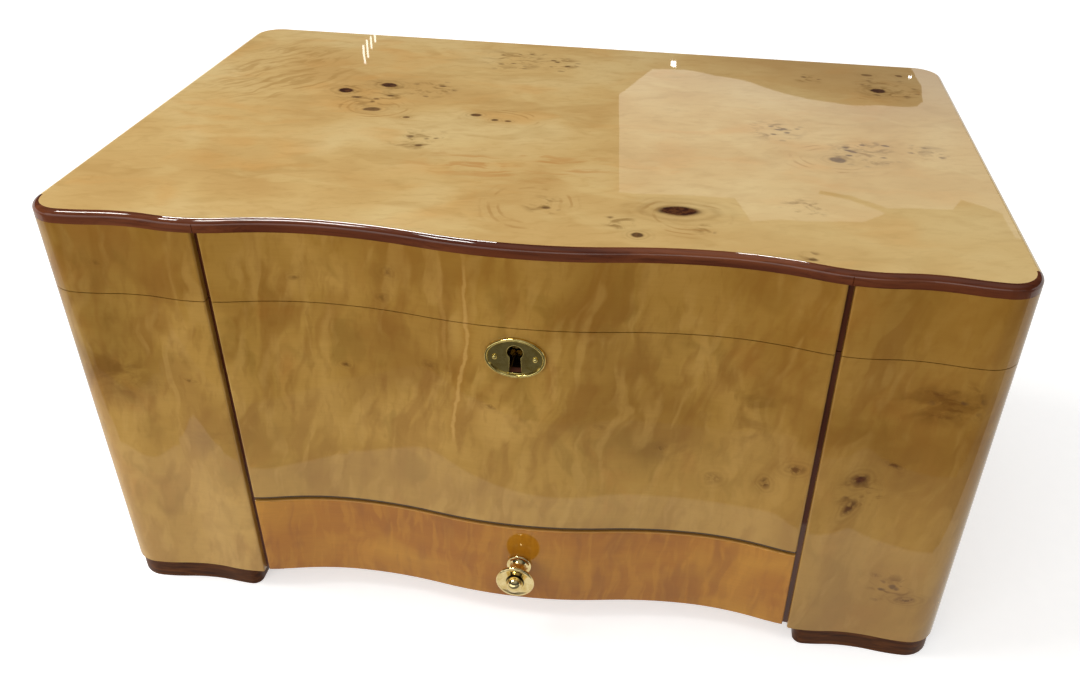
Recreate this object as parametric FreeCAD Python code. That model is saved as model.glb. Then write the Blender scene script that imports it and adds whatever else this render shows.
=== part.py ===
import FreeCAD, Part
import math
import os

# Lift-lid keepsake box with a serpentine front, a box lock and one drawer.
# Millimetres, +Z up, front towards -Y, origin under the middle of the overall box.

Vector = FreeCAD.Vector

# Overall case
WIDTH = 360.0
DEPTH = 232.0
FOOT_HEIGHT = 9.6
CASE_HEIGHT = 140.85
LID_HEIGHT = 33.05
SEAM_GAP = 0.35
CORNER_RADIUS = 13.0

# Serpentine front line: how far each crest or hollow stands behind the foremost plane, and how far
# along the front it lies from the groove
CROWN_DEPTH = 0.6
VALLEY_BEFORE_GROOVE = 43.6
VALLEY_DEPTH = 7.0
VALLEY_SHARE = 0.64
SHOULDER_PAST_GROOVE = 7.4
SHOULDER_DEPTH = 0.5
HOLLOW_PAST_GROOVE = 26.4
HOLLOW_DEPTH = 1.9
EVEN_SHARE = 0.5

# Grooves between the bowed middle and the corner posts
GROOVE_FROM_END = 64.4
GROOVE_WIDTH = 2.2
GROOVE_DEPTH = 3.0
GROOVE_EDGE_ROUND = 0.9

# Boards
FRONT_WALL = 20.0
SIDE_WALL = 12.0
BACK_WALL = 12.0
BASE_THICK = 6.0
FLOOR_THICK = 6.0
TOP_THICK = 10.0
LIP_HEIGHT = 4.65
LIP_DEPTH = 2.7
LIP_ROUND = 2.3
LIP_NOTCH = 0.7

# Feet
FOOT_DEPTH = 42.0
FOOT_SET_BACK = 1.0
FOOT_END_SET_BACK = 3.6
FOOT_ROUND = 4.0

# Drawer
DRAWER_LIFT = 1.1
DRAWER_FRONT_HEIGHT = 41.2
DRAWER_HEAD_GAP = 1.6
DRAWER_STOP_GAP = 0.3
DRAWER_RUN_GAP = 0.3
DRAWER_SIDE_GAP = 0.4
DRAWER_SIDE_THICK = 8.0
DRAWER_SIDE_HEIGHT = 34.0
DRAWER_BACK_THICK = 8.0
DRAWER_REAR_GAP = 5.0
DRAWER_BOTTOM_THICK = 3.0
DRAWER_BOTTOM_LIFT = 3.0
DRAWER_HOUSING = 6.0
DRAWER_HOUSING_FLARE = 1.2
DRAWER_EDGE_ROUND = 0.8
GUIDE_BEHIND_FRONT = 1.5
GUIDE_THICK = 8.0
FELT_THICK = 1.5

# Drawer knob, turned brass
KNOB_ROSE_RADIUS = 5.35
KNOB_ROSE_THICK = 1.4
KNOB_ROSE_EDGE = 0.55
KNOB_ROSE_SHOULDER_RADIUS = 4.95
KNOB_ROSE_SHOULDER = 1.2
KNOB_NECK_RADIUS = 3.1
KNOB_NECK_FOOT = 0.6
KNOB_NECK_FLARE = 1.2
KNOB_CAP_RADIUS = 8.15
KNOB_CAP_AHEAD = 11.0
KNOB_CAP_THICK = 1.8
KNOB_CAP_ROUND = 0.54
KNOB_DISH = 0.7
KNOB_BALL_RADIUS = 3.5
KNOB_BALL_AHEAD = 0.7
KNOB_SCREW_RADIUS = 2.0
KNOB_SCREW_HEAD_RADIUS = 4.0
KNOB_SCREW_HEAD_THICK = 2.4
KNOB_SCREW_BITE = 6.5

# Linings
LINING_THICK = 2.0
LINING_BELOW_SEAM = 2.0
LINING_GAP = 0.3

# Escutcheon round the keyhole
ESCUTCHEON_WIDTH = 23.3
ESCUTCHEON_HEIGHT = 17.3
ESCUTCHEON_END_RADIUS = 6.6
ESCUTCHEON_BELOW_SEAM = 12.3
ESCUTCHEON_PLATE = 0.9
ESCUTCHEON_RIM = 1.3
ESCUTCHEON_RIM_PROUD = 0.8
ESCUTCHEON_RIM_ROUND = 0.58
ESCUTCHEON_SINK = 0.35
ESCUTCHEON_FIT = 0.05
KEYHOLE_RADIUS = 2.95
KEYHOLE_BELOW_SEAM = 10.0
KEYHOLE_STEM_TOP = 4.0
KEYHOLE_STEM_FOOT = 4.7
KEYHOLE_STEM_DROP = 9.0
ESCUTCHEON_PIN_X = 7.65
ESCUTCHEON_PIN_HEAD = 1.1
ESCUTCHEON_PIN_SHANK = 0.6
ESCUTCHEON_PIN_LENGTH = 8.0

# Box lock in the front panel
LOCK_DEPTH = 8.0
LOCK_SHEET = 1.0
LOCK_BELOW_KEYHOLE = 0.8
LOCK_FIT = 0.2
SELVEDGE_THICK = 1.5
SELVEDGE_EXTRA = 1.0
SELVEDGE_EAR = 5.6
BOLT_TRAVEL = 3.5
BOLT_SLIDE_GAP = 0.3
BOLT_STRAP_THICK = 1.4
BOLT_BLOCK_BELOW_SEAM = 8.3
BOLT_UPRIGHT = 2.0
BOLT_PRONG = 5.0
BOLT_PRONG_THICK = 2.5
BOLT_PRONG_SHY = 0.5
BOLT_KEY_NOTCH = 5.0
STAPLE_X = 15.8
STAPLE_THICK = 1.6
STAPLE_WIDTH = 5.2
STAPLE_DROP = 8.0
STAPLE_BRIDGE = 1.2
STAPLE_EYE_GAP = 0.35
STAPLE_SLOT_GAP = 0.35
KEY_PIN_RADIUS = 1.2
KEY_PIN_SHY = 4.0
KEY_PIN_TAPER = 0.6

# Hinges at the back
HINGE_FROM_END = 68.0
HINGE_LENGTH = 38.0
HINGE_LEAF_WIDTH = 9.0
HINGE_LEAF_THICK = 1.5
HINGE_AXIS_BEHIND = 2.35
KNUCKLE_RADIUS = 2.1
KNUCKLE_MIDDLE = 14.0
KNUCKLE_GAP = 0.15
HINGE_PIN_RADIUS = 1.0
HINGE_PIN_FIT = 0.05
HEEL_RADIUS = 3.4
HEEL_SPREAD = 34.0
HEEL_FOOT_ANGLE = -46.0
HEEL_CLEAR = 1.0
LID_OPEN_ANGLE = 95.0
HINGE_SCREW_STEP = 12.5

# Wood screws, slotted and countersunk
SCREW_HEAD_RADIUS = 2.1
SCREW_HEAD_DEPTH = 1.2
SCREW_SHANK_RADIUS = 1.05
SCREW_LENGTH = 9.0
SCREW_TIP = 2.2
SCREW_SLOT_WIDTH = 0.5
SCREW_SLOT_DEPTH = 0.45
SCREW_FIT = 0.05

# Places worked out from the sizes above
HALF_WIDTH = WIDTH / 2
CORNER_X = HALF_WIDTH - CORNER_RADIUS
GROOVE_X = HALF_WIDTH - GROOVE_FROM_END
VALLEY_X = GROOVE_X - VALLEY_BEFORE_GROOVE
SHOULDER_X = GROOVE_X + SHOULDER_PAST_GROOVE
HOLLOW_X = GROOVE_X + HOLLOW_PAST_GROOVE
HINGE_X = HALF_WIDTH - HINGE_FROM_END
KNOB_REACH = KNOB_CAP_AHEAD + KNOB_BALL_AHEAD + KNOB_BALL_RADIUS - CROWN_DEPTH
HINGE_REACH = HINGE_AXIS_BEHIND + HEEL_RADIUS * math.cos(math.radians(HEEL_FOOT_ANGLE))
FRONT_Y = (KNOB_REACH - DEPTH - HINGE_REACH) / 2
BACK_Y = FRONT_Y + DEPTH
CROWN_Y = FRONT_Y + CROWN_DEPTH
INNER_FRONT_Y = FRONT_Y + FRONT_WALL
INNER_BACK_Y = BACK_Y - BACK_WALL
INNER_X = HALF_WIDTH - SIDE_WALL
CASE_TOP = FOOT_HEIGHT + CASE_HEIGHT - SEAM_GAP / 2
LID_FOOT = CASE_TOP + SEAM_GAP
LID_TOP = LID_FOOT + LID_HEIGHT - SEAM_GAP / 2
LIP_FOOT = LID_TOP - LIP_HEIGHT
LID_CEILING = LID_TOP - TOP_THICK
BASE_TOP = FOOT_HEIGHT + BASE_THICK
DRAWER_FOOT = FOOT_HEIGHT + DRAWER_LIFT
DRAWER_TOP = DRAWER_FOOT + DRAWER_FRONT_HEIGHT
FLOOR_FOOT = DRAWER_TOP + DRAWER_HEAD_GAP
FLOOR_TOP = FLOOR_FOOT + FLOOR_THICK
PANEL_X = GROOVE_X - GROOVE_WIDTH / 2
POST_X = GROOVE_X + GROOVE_WIDTH / 2
GUIDE_X = PANEL_X - GUIDE_BEHIND_FRONT
DRAWER_FRONT_BACK_Y = INNER_FRONT_Y - DRAWER_STOP_GAP
DRAWER_SIDE_X = GUIDE_X - DRAWER_SIDE_GAP
DRAWER_INNER_X = DRAWER_SIDE_X - DRAWER_SIDE_THICK
DRAWER_REAR_Y = INNER_BACK_Y - DRAWER_REAR_GAP
DRAWER_BOX_FOOT = BASE_TOP + DRAWER_RUN_GAP
DRAWER_BOX_TOP = DRAWER_BOX_FOOT + DRAWER_SIDE_HEIGHT
DRAWER_BOTTOM_Z = DRAWER_BOX_FOOT + DRAWER_BOTTOM_LIFT
DRAWER_BOTTOM_TOP = DRAWER_BOTTOM_Z + DRAWER_BOTTOM_THICK
DRAWER_GROOVE = DRAWER_SIDE_THICK / 2
KNOB_Z = (DRAWER_FOOT + DRAWER_TOP) / 2
KEYHOLE_Z = CASE_TOP - KEYHOLE_BELOW_SEAM
ESCUTCHEON_Z = CASE_TOP - ESCUTCHEON_BELOW_SEAM
ESCUTCHEON_BACK_Y = CROWN_Y + ESCUTCHEON_SINK
ESCUTCHEON_FACE_Y = ESCUTCHEON_BACK_Y - ESCUTCHEON_PLATE
PRONG_START = STAPLE_X - STAPLE_THICK / 2 - BOLT_PRONG_SHY - BOLT_PRONG
BOLT_LEFT = -STAPLE_X - STAPLE_THICK / 2 - BOLT_PRONG_SHY - BOLT_PRONG - BOLT_UPRIGHT
BOLT_RIGHT = PRONG_START + BOLT_PRONG
LOCK_HALF = LOCK_SHEET + 2 * BOLT_SLIDE_GAP - BOLT_LEFT
LOCK_FOOT = KEYHOLE_Z - KEYHOLE_STEM_DROP - LOCK_BELOW_KEYHOLE - LOCK_SHEET
LOCK_MID_Y = INNER_FRONT_Y - LOCK_DEPTH / 2
SELVEDGE_HALF = LOCK_HALF + SELVEDGE_EAR
SELVEDGE_FRONT_Y = INNER_FRONT_Y - LOCK_DEPTH - SELVEDGE_EXTRA
SELVEDGE_MID_Y = (SELVEDGE_FRONT_Y + INNER_FRONT_Y) / 2
BLOCK_TOP = CASE_TOP - BOLT_BLOCK_BELOW_SEAM
STAPLE_FOOT = LID_FOOT - STAPLE_DROP
EYE_FOOT = STAPLE_FOOT + STAPLE_BRIDGE
EYE_HALF = BOLT_PRONG_THICK / 2 + STAPLE_EYE_GAP
PRONG_FOOT = EYE_FOOT + STAPLE_EYE_GAP
AXIS_Y = BACK_Y + HINGE_AXIS_BEHIND
AXIS_Z = CASE_TOP + SEAM_GAP / 2
LEAF_FRONT_Y = BACK_Y - HINGE_LEAF_WIDTH


def box(x0, x1, y0, y1, z0, z1):
    """A block between two corners."""
    return Part.makeBox(x1 - x0, y1 - y0, z1 - z0, Vector(x0, y0, z0))


def rod(radius, start, direction, length):
    """A round bar from start, along direction."""
    return Part.makeCylinder(radius, length, Vector(*start), Vector(*direction))


def join(shapes):
    """The given solids as one."""
    whole = shapes[0]
    for shape in shapes[1:]:
        whole = whole.fuse(shape)
    return whole.removeSplitter()


def mirrored(shape):
    """The same piece for the other side of the box."""
    return shape.mirror(Vector(0, 0, 0), Vector(1, 0, 0))


def round_edges(shape, radius, chosen):
    """Round the edges whose middle point passes the test."""
    edges = [edge for edge in shape.Edges if chosen(middle_of(edge))]
    return shape.makeFillet(radius, edges)


def taper_edges(shape, size, chosen):
    """Bevel the edges whose middle point passes the test."""
    edges = [edge for edge in shape.Edges if chosen(middle_of(edge))]
    return shape.makeChamfer(size, edges)


def middle_of(edge):
    """The point half-way along an edge."""
    return edge.valueAt((edge.FirstParameter + edge.LastParameter) / 2)


def arc_between(centre, start, end, radius):
    """A short arc round centre, as its three points."""
    towards = Vector((start[0] + end[0]) / 2 - centre[0], (start[1] + end[1]) / 2 - centre[1], 0)
    towards.normalize()
    middle = (centre[0] + towards.x * radius, centre[1] + towards.y * radius)
    return start, middle, end


def s_bend(start, end, share, inset):
    """Two tangent arcs between two points where the line runs straight across, drawn in by inset."""
    run = end[0] - start[0]
    rise = end[1] - start[1]
    total = (run ** 2 + rise ** 2) / (2 * abs(rise))
    side = math.copysign(1, rise)
    first_radius = share * total
    last_radius = total - first_radius
    first = (start[0], start[1] + side * first_radius)
    last = (end[0], end[1] - side * last_radius)
    first_radius -= side * inset
    last_radius += side * inset
    along = first_radius / total
    change = (first[0] + (last[0] - first[0]) * along, first[1] + (last[1] - first[1]) * along)
    begin = (start[0], start[1] + inset)
    finish = (end[0], end[1] + inset)
    return [arc_between(first, begin, change, first_radius),
            arc_between(last, change, finish, last_radius)]


def plan_arcs(inset):
    """Arcs of the right half of the case in plan, from the crown to the back corner."""
    stops = [(0, CROWN_Y), (VALLEY_X, FRONT_Y + VALLEY_DEPTH), (SHOULDER_X, FRONT_Y + SHOULDER_DEPTH),
             (HOLLOW_X, FRONT_Y + HOLLOW_DEPTH), (CORNER_X, FRONT_Y)]
    shares = [EVEN_SHARE, VALLEY_SHARE, EVEN_SHARE, EVEN_SHARE]
    arcs = []
    for start, end, share in zip(stops, stops[1:], shares):
        arcs += s_bend(start, end, share, inset)
    radius = CORNER_RADIUS - inset
    front_centre = (CORNER_X, FRONT_Y + CORNER_RADIUS)
    back_centre = (CORNER_X, BACK_Y - CORNER_RADIUS)
    side_x = HALF_WIDTH - inset
    arcs.append(arc_between(front_centre, (CORNER_X, FRONT_Y + inset), (side_x, front_centre[1]), radius))
    arcs.append(arc_between(back_centre, (side_x, back_centre[1]), (CORNER_X, BACK_Y - inset), radius))
    return arcs


def plan_prism(inset, z0, z1):
    """The whole case outline, drawn in by inset, as a solid from z0 to z1."""
    def at(point):
        return Vector(point[0], point[1], z0)

    arcs = plan_arcs(inset)
    edges = [Part.Arc(at(start), at(middle), at(end)).toShape() for start, middle, end in arcs]
    front_arc, back_arc = arcs[-2:]
    edges.append(Part.LineSegment(at(front_arc[2]), at(back_arc[0])).toShape())
    edges.append(Part.LineSegment(at(back_arc[2]), at((0, back_arc[2][1]))).toShape())
    edges += [mirrored(edge) for edge in edges]
    wire = Part.Wire(Part.__sortEdges__(edges))
    return Part.Face(wire).extrude(Vector(0, 0, z1 - z0))


def board(x0, x1, y0, y1, z0, z1, inset=0.0):
    """A piece of the case: the part of the outline that lies in a block."""
    return plan_prism(inset, z0, z1).common(box(x0, x1, y0, y1, z0, z1)).removeSplitter()


def screw(fit=0.0):
    """A slotted countersunk wood screw, head up at the origin; with fit, the hole it needs."""
    head = Part.makeCone(SCREW_SHANK_RADIUS + fit, SCREW_HEAD_RADIUS + fit, SCREW_HEAD_DEPTH,
                         Vector(0, 0, -SCREW_HEAD_DEPTH))
    straight = SCREW_LENGTH - SCREW_TIP + fit
    shank = rod(SCREW_SHANK_RADIUS + fit, (0, 0, -straight), (0, 0, 1), straight)
    tip = Part.makeCone(0, SCREW_SHANK_RADIUS + fit, SCREW_TIP + fit, Vector(0, 0, -SCREW_LENGTH - 2 * fit))
    whole = join([head, shank, tip])
    if fit:
        return whole
    slot = box(-SCREW_HEAD_RADIUS, SCREW_HEAD_RADIUS, -SCREW_SLOT_WIDTH / 2, SCREW_SLOT_WIDTH / 2,
               -SCREW_SLOT_DEPTH, SCREW_SLOT_DEPTH)
    return whole.cut(slot)


def screws_at(places, up, fit=0.0):
    """Screws whose heads face up (+1) or down (-1) at the given places."""
    group = []
    for place in places:
        one = screw(fit)
        if up < 0:
            one.rotate(Vector(0, 0, 0), Vector(1, 0, 0), 180)
        one.translate(Vector(*place))
        group.append(one)
    return group


def cut_all(shape, tools):
    """The shape with each tool taken out of it."""
    for tool in tools:
        shape = shape.cut(tool)
    return shape


def front_post(z0, z1):
    """Right corner post, with the edge beside the groove softened."""
    post = board(POST_X, WIDTH, FRONT_Y - 1, INNER_FRONT_Y, z0, z1)
    return round_edges(post, GROOVE_EDGE_ROUND, beside_groove(POST_X))


def beside_groove(x):
    """Test for the upright front edge of a board that ends at x or -x."""
    def chosen(point):
        return abs(abs(point.x) - x) < 0.01 and point.y < FRONT_Y + VALLEY_DEPTH

    return chosen


def groove_strip(z0, z1):
    """Right dark strip: it fills the joint behind the groove, from its floor to the inner face."""
    return board(PANEL_X, POST_X, FRONT_Y, INNER_FRONT_Y, z0, z1, GROOVE_DEPTH)


def case_groove_strip():
    """Right strip of the case: below the front panel it goes on, thinner, beside the drawer front."""
    stile = board(PANEL_X + DRAWER_SIDE_GAP, POST_X, FRONT_Y, INNER_FRONT_Y, FOOT_HEIGHT, FLOOR_FOOT,
                  GROOVE_DEPTH)
    return join([groove_strip(FLOOR_FOOT, CASE_TOP), stile])


def keyhole(y0, y1):
    """The keyhole as a solid: a round with a stem that widens a little towards its foot."""
    eye = rod(KEYHOLE_RADIUS, (0, y0, KEYHOLE_Z), (0, 1, 0), y1 - y0)
    foot = KEYHOLE_Z - KEYHOLE_STEM_DROP
    corners = [(-KEYHOLE_STEM_TOP / 2, KEYHOLE_Z), (-KEYHOLE_STEM_FOOT / 2, foot),
               (KEYHOLE_STEM_FOOT / 2, foot), (KEYHOLE_STEM_TOP / 2, KEYHOLE_Z)]
    outline = [Vector(x, y0, z) for x, z in corners]
    stem = Part.Face(Part.makePolygon(outline + outline[:1])).extrude(Vector(0, y1 - y0, 0))
    return join([eye, stem])


def oval(grow, y0, y1):
    """The escutcheon's oval of four tangent arcs, grown by an amount, as a solid from y0 to y1."""
    half_x = ESCUTCHEON_WIDTH / 2
    half_z = ESCUTCHEON_HEIGHT / 2
    end = ESCUTCHEON_END_RADIUS
    side = (half_x ** 2 + half_z ** 2 - 2 * half_x * end) / (2 * (half_z - end))
    end_x = half_x - end
    side_z = side - half_z
    reach = (side + grow) / math.hypot(end_x, side_z)
    meet_x = reach * end_x
    meet_z = reach * side_z - side_z

    def at(x, z):
        return Vector(x, y0, ESCUTCHEON_Z + z)

    right = Part.Arc(at(meet_x, -meet_z), at(half_x + grow, 0), at(meet_x, meet_z)).toShape()
    upper = Part.Arc(at(meet_x, meet_z), at(0, half_z + grow), at(-meet_x, meet_z)).toShape()
    left = Part.Arc(at(-meet_x, meet_z), at(-half_x - grow, 0), at(-meet_x, -meet_z)).toShape()
    lower = Part.Arc(at(-meet_x, -meet_z), at(0, -half_z - grow), at(meet_x, -meet_z)).toShape()
    return Part.Face(Part.Wire([right, upper, left, lower])).extrude(Vector(0, y1 - y0, 0))


def escutcheon():
    """Oval brass plate with a rounded raised rim, pierced by the keyhole and two pin holes."""
    rim_y = ESCUTCHEON_FACE_Y - ESCUTCHEON_RIM_PROUD
    rim = oval(0, rim_y, ESCUTCHEON_BACK_Y)
    rim = rim.cut(oval(-ESCUTCHEON_RIM, rim_y - 1, ESCUTCHEON_FACE_Y))
    rim = round_edges(rim, ESCUTCHEON_RIM_ROUND, lambda point: abs(point.y - rim_y) < 0.01)
    return cut_all(rim, [keyhole(rim_y - 1, ESCUTCHEON_BACK_Y + 1)] + escutcheon_pin_holes())


def escutcheon_pin_holes():
    """Clear holes for the shanks of the escutcheon pins."""
    radius = ESCUTCHEON_PIN_SHANK + ESCUTCHEON_FIT
    length = ESCUTCHEON_PIN_LENGTH + ESCUTCHEON_FIT
    return [rod(radius, (x, ESCUTCHEON_FACE_Y, ESCUTCHEON_Z), (0, 1, 0), length)
            for x in (-ESCUTCHEON_PIN_X, ESCUTCHEON_PIN_X)]


def escutcheon_pins():
    """Two round-headed brass pins."""
    pins = []
    for x in (-ESCUTCHEON_PIN_X, ESCUTCHEON_PIN_X):
        seat = (x, ESCUTCHEON_FACE_Y, ESCUTCHEON_Z)
        head = Part.makeSphere(ESCUTCHEON_PIN_HEAD, Vector(*seat))
        reach = 2 * ESCUTCHEON_PIN_HEAD
        front = box(x - reach, x + reach, ESCUTCHEON_FACE_Y - reach, ESCUTCHEON_FACE_Y,
                    ESCUTCHEON_Z - reach, ESCUTCHEON_Z + reach)
        shank = rod(ESCUTCHEON_PIN_SHANK, seat, (0, 1, 0), ESCUTCHEON_PIN_LENGTH)
        pins.append(join([head.common(front), shank]))
    return Part.makeCompound(pins)


def lock_mortise():
    """What the front panel loses to the lock, its selvedge and the keyhole."""
    body = box(-LOCK_HALF - LOCK_FIT, LOCK_HALF + LOCK_FIT, INNER_FRONT_Y - LOCK_DEPTH, INNER_FRONT_Y,
               LOCK_FOOT - LOCK_FIT, CASE_TOP)
    selvedge = box(-SELVEDGE_HALF, SELVEDGE_HALF, SELVEDGE_FRONT_Y, INNER_FRONT_Y,
                   CASE_TOP - SELVEDGE_THICK, CASE_TOP)
    return [body, selvedge, keyhole(FRONT_Y, INNER_FRONT_Y - LOCK_DEPTH)]


def lock_screw_places():
    """Heads of the two screws that hold the selvedge."""
    x = LOCK_HALF + SELVEDGE_EAR / 2
    return [(-x, SELVEDGE_MID_Y, CASE_TOP), (x, SELVEDGE_MID_Y, CASE_TOP)]


def staple_boxes(gap, z0, z1):
    """The two staples as blocks, widened by a gap."""
    half_x = STAPLE_THICK / 2 + gap
    half_y = STAPLE_WIDTH / 2 + gap
    return [box(x - half_x, x + half_x, LOCK_MID_Y - half_y, LOCK_MID_Y + half_y, z0, z1)
            for x in (-STAPLE_X, STAPLE_X)]


def lock_case():
    """Brass back plate, selvedge and rim walls of the lock, open towards the cap."""
    shell = box(-LOCK_HALF, LOCK_HALF, INNER_FRONT_Y - LOCK_DEPTH + LOCK_SHEET, INNER_FRONT_Y,
                LOCK_FOOT, CASE_TOP - SELVEDGE_THICK)
    hollow = box(-LOCK_HALF + LOCK_SHEET, LOCK_HALF - LOCK_SHEET, INNER_FRONT_Y - LOCK_DEPTH,
                 INNER_FRONT_Y - LOCK_SHEET, LOCK_FOOT + LOCK_SHEET, CASE_TOP - SELVEDGE_THICK)
    selvedge = box(-SELVEDGE_HALF, SELVEDGE_HALF, SELVEDGE_FRONT_Y, INNER_FRONT_Y,
                   CASE_TOP - SELVEDGE_THICK, CASE_TOP)
    whole = join([shell.cut(hollow), selvedge])
    whole = cut_all(whole, staple_boxes(STAPLE_SLOT_GAP, STAPLE_FOOT, CASE_TOP + 1))
    return cut_all(whole, screws_at(lock_screw_places(), 1, SCREW_FIT))


def lock_cap():
    """Front plate of the lock, with its keyhole."""
    y0 = INNER_FRONT_Y - LOCK_DEPTH
    plate = box(-LOCK_HALF, LOCK_HALF, y0, y0 + LOCK_SHEET, LOCK_FOOT, CASE_TOP - SELVEDGE_THICK)
    return plate.cut(keyhole(y0 - 1, y0 + LOCK_SHEET + 1))


def lock_key_pin():
    """The pin that a barrel key slides over, standing on the back plate."""
    y0 = ESCUTCHEON_FACE_Y + KEY_PIN_SHY
    y1 = INNER_FRONT_Y - LOCK_SHEET
    pin = rod(KEY_PIN_RADIUS, (0, y0, KEYHOLE_Z), (0, 1, 0), y1 - y0)
    return taper_edges(pin, KEY_PIN_TAPER, lambda point: abs(point.y - y0) < 0.01)


def lock_bolt():
    """Sliding bolt, drawn back: a strap with two blocks whose prongs pass through the staples."""
    back = INNER_FRONT_Y - LOCK_SHEET - BOLT_SLIDE_GAP
    front = INNER_FRONT_Y - LOCK_DEPTH + LOCK_SHEET + BOLT_SLIDE_GAP
    foot = LOCK_FOOT + LOCK_SHEET + BOLT_SLIDE_GAP
    half = BOLT_PRONG_THICK / 2
    pieces = [box(BOLT_LEFT, BOLT_RIGHT, back - BOLT_STRAP_THICK, back, foot, BLOCK_TOP)]
    for prong_tip in (-STAPLE_X - STAPLE_THICK / 2 - BOLT_PRONG_SHY, BOLT_RIGHT):
        root = prong_tip - BOLT_PRONG
        left = root - BOLT_UPRIGHT
        pieces.append(box(left, prong_tip, front, back, foot, BLOCK_TOP))
        pieces.append(box(left, root, LOCK_MID_Y - half, LOCK_MID_Y + half, BLOCK_TOP,
                          PRONG_FOOT + BOLT_PRONG_THICK))
        pieces.append(box(root, prong_tip, LOCK_MID_Y - half, LOCK_MID_Y + half, PRONG_FOOT,
                          PRONG_FOOT + BOLT_PRONG_THICK))
    whole = join(pieces)
    clear = KEY_PIN_RADIUS + BOLT_SLIDE_GAP
    slot = box(-BOLT_TRAVEL - clear, clear, back - LOCK_DEPTH, back + 1,
               KEYHOLE_Z - clear, KEYHOLE_Z + clear)
    talon = box(-BOLT_TRAVEL - BOLT_KEY_NOTCH, -BOLT_TRAVEL, back - LOCK_DEPTH, back + 1,
                foot - 1, foot + BOLT_KEY_NOTCH)
    return cut_all(whole, [slot, talon])


def link_plate():
    """Brass plate in the lid's front rail, with two staples that drop into the lock."""
    plate = box(-SELVEDGE_HALF, SELVEDGE_HALF, SELVEDGE_FRONT_Y, INNER_FRONT_Y,
                LID_FOOT, LID_FOOT + SELVEDGE_THICK)
    whole = join([plate] + staple_boxes(0, STAPLE_FOOT, LID_FOOT))
    eye = box(-SELVEDGE_HALF, SELVEDGE_HALF, LOCK_MID_Y - EYE_HALF, LOCK_MID_Y + EYE_HALF,
              EYE_FOOT, PRONG_FOOT + BOLT_PRONG_THICK + STAPLE_EYE_GAP)
    return cut_all(whole.cut(eye), screws_at(link_screw_places(), -1, SCREW_FIT))


def link_screw_places():
    """Heads of the two screws that hold the link plate."""
    return [(x, y, LID_FOOT) for x, y, z in lock_screw_places()]


def front_panel():
    """Bowed front panel of the case, with the mortise for the lock and a seat for the escutcheon."""
    panel = board(-PANEL_X, PANEL_X, FRONT_Y - 1, INNER_FRONT_Y, FLOOR_FOOT, CASE_TOP)
    panel = round_edges(panel, GROOVE_EDGE_ROUND, beside_groove(PANEL_X))
    seat = oval(ESCUTCHEON_FIT, FRONT_Y - 1, ESCUTCHEON_BACK_Y)
    panel = cut_all(panel, [seat] + lock_mortise() + escutcheon_pin_holes())
    return cut_all(panel, screws_at(lock_screw_places(), 1, SCREW_FIT))


def lid_front_rail():
    """Bowed front of the lid, over the front panel."""
    rail = board(-PANEL_X, PANEL_X, FRONT_Y - 1, INNER_FRONT_Y, LID_FOOT, LIP_FOOT)
    rail = round_edges(rail, GROOVE_EDGE_ROUND, beside_groove(PANEL_X))
    seat = box(-SELVEDGE_HALF, SELVEDGE_HALF, SELVEDGE_FRONT_Y, INNER_FRONT_Y,
               LID_FOOT, LID_FOOT + SELVEDGE_THICK)
    return cut_all(rail.cut(seat), screws_at(link_screw_places(), -1, SCREW_FIT))


def lid_top_panel():
    """Lid board with a rebated edge: the plate shows, the tongue drops inside the rails."""
    plate = plan_prism(LIP_DEPTH, LIP_FOOT, LID_TOP)
    tongue = box(-INNER_X, INNER_X, INNER_FRONT_Y, INNER_BACK_Y, LID_CEILING, LIP_FOOT)
    return join([plate, tongue])


def lid_edging():
    """Rounded edging round the lid: the front length wraps both front corners, the others are mitred."""
    ring = plan_prism(0, LIP_FOOT, LID_TOP)
    ring = round_edges(ring, LIP_ROUND, lambda point: abs(point.z - LID_TOP) < 0.01)
    ring = ring.cut(plan_prism(LIP_DEPTH, LIP_FOOT - 1, LID_TOP + 1))
    for x in (-GROOVE_X, GROOVE_X):
        reach = GROOVE_WIDTH / 2
        corners = [(x - reach, -reach), (x, LIP_NOTCH), (x + reach, -reach)]
        outline = [Vector(px, FRONT_Y + SHOULDER_DEPTH + py, LIP_FOOT - 1) for px, py in corners]
        notch = Part.Face(Part.makePolygon(outline + outline[:1])).extrude(Vector(0, 0, LIP_HEIGHT + 2))
        ring = ring.cut(notch)
    far = WIDTH
    inner_front = FRONT_Y + CORNER_RADIUS
    inner_back = BACK_Y - CORNER_RADIUS
    front = [(-far, inner_front - far), (far, inner_front - far), (far, inner_front), (-far, inner_front)]
    back = [(-CORNER_X - far, inner_back + far), (CORNER_X + far, inner_back + far),
            (CORNER_X, inner_back), (-CORNER_X, inner_back)]
    right = [(CORNER_X, inner_front), (far, inner_front), (CORNER_X + far, inner_back + far),
             (CORNER_X, inner_back)]
    lengths = {}
    for name, corners in (("front", front), ("back", back), ("right", right)):
        outline = [Vector(x, y, LIP_FOOT) for x, y in corners]
        sector = Part.Face(Part.makePolygon(outline + outline[:1])).extrude(Vector(0, 0, LIP_HEIGHT))
        lengths[name] = ring.common(sector).removeSplitter()
    lengths["left"] = mirrored(lengths["right"])
    return lengths


def foot():
    """Front right foot pad: it follows the post in plan, set back a little, with a rounded end."""
    x0 = POST_X + FOOT_END_SET_BACK
    pad = board(x0, WIDTH, FRONT_Y - 1, FRONT_Y + FOOT_DEPTH, 0, FOOT_HEIGHT, FOOT_SET_BACK)
    inner_x = HALF_WIDTH - FOOT_SET_BACK

    def free_corner(point):
        at_end = abs(point.x - x0) < 0.01
        at_side = abs(point.x - inner_x) < 0.01 and point.y > FRONT_Y + FOOT_DEPTH - 1
        return abs(point.z - FOOT_HEIGHT / 2) < 0.01 and (at_end or at_side)

    return round_edges(pad, FOOT_ROUND, free_corner)


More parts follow.
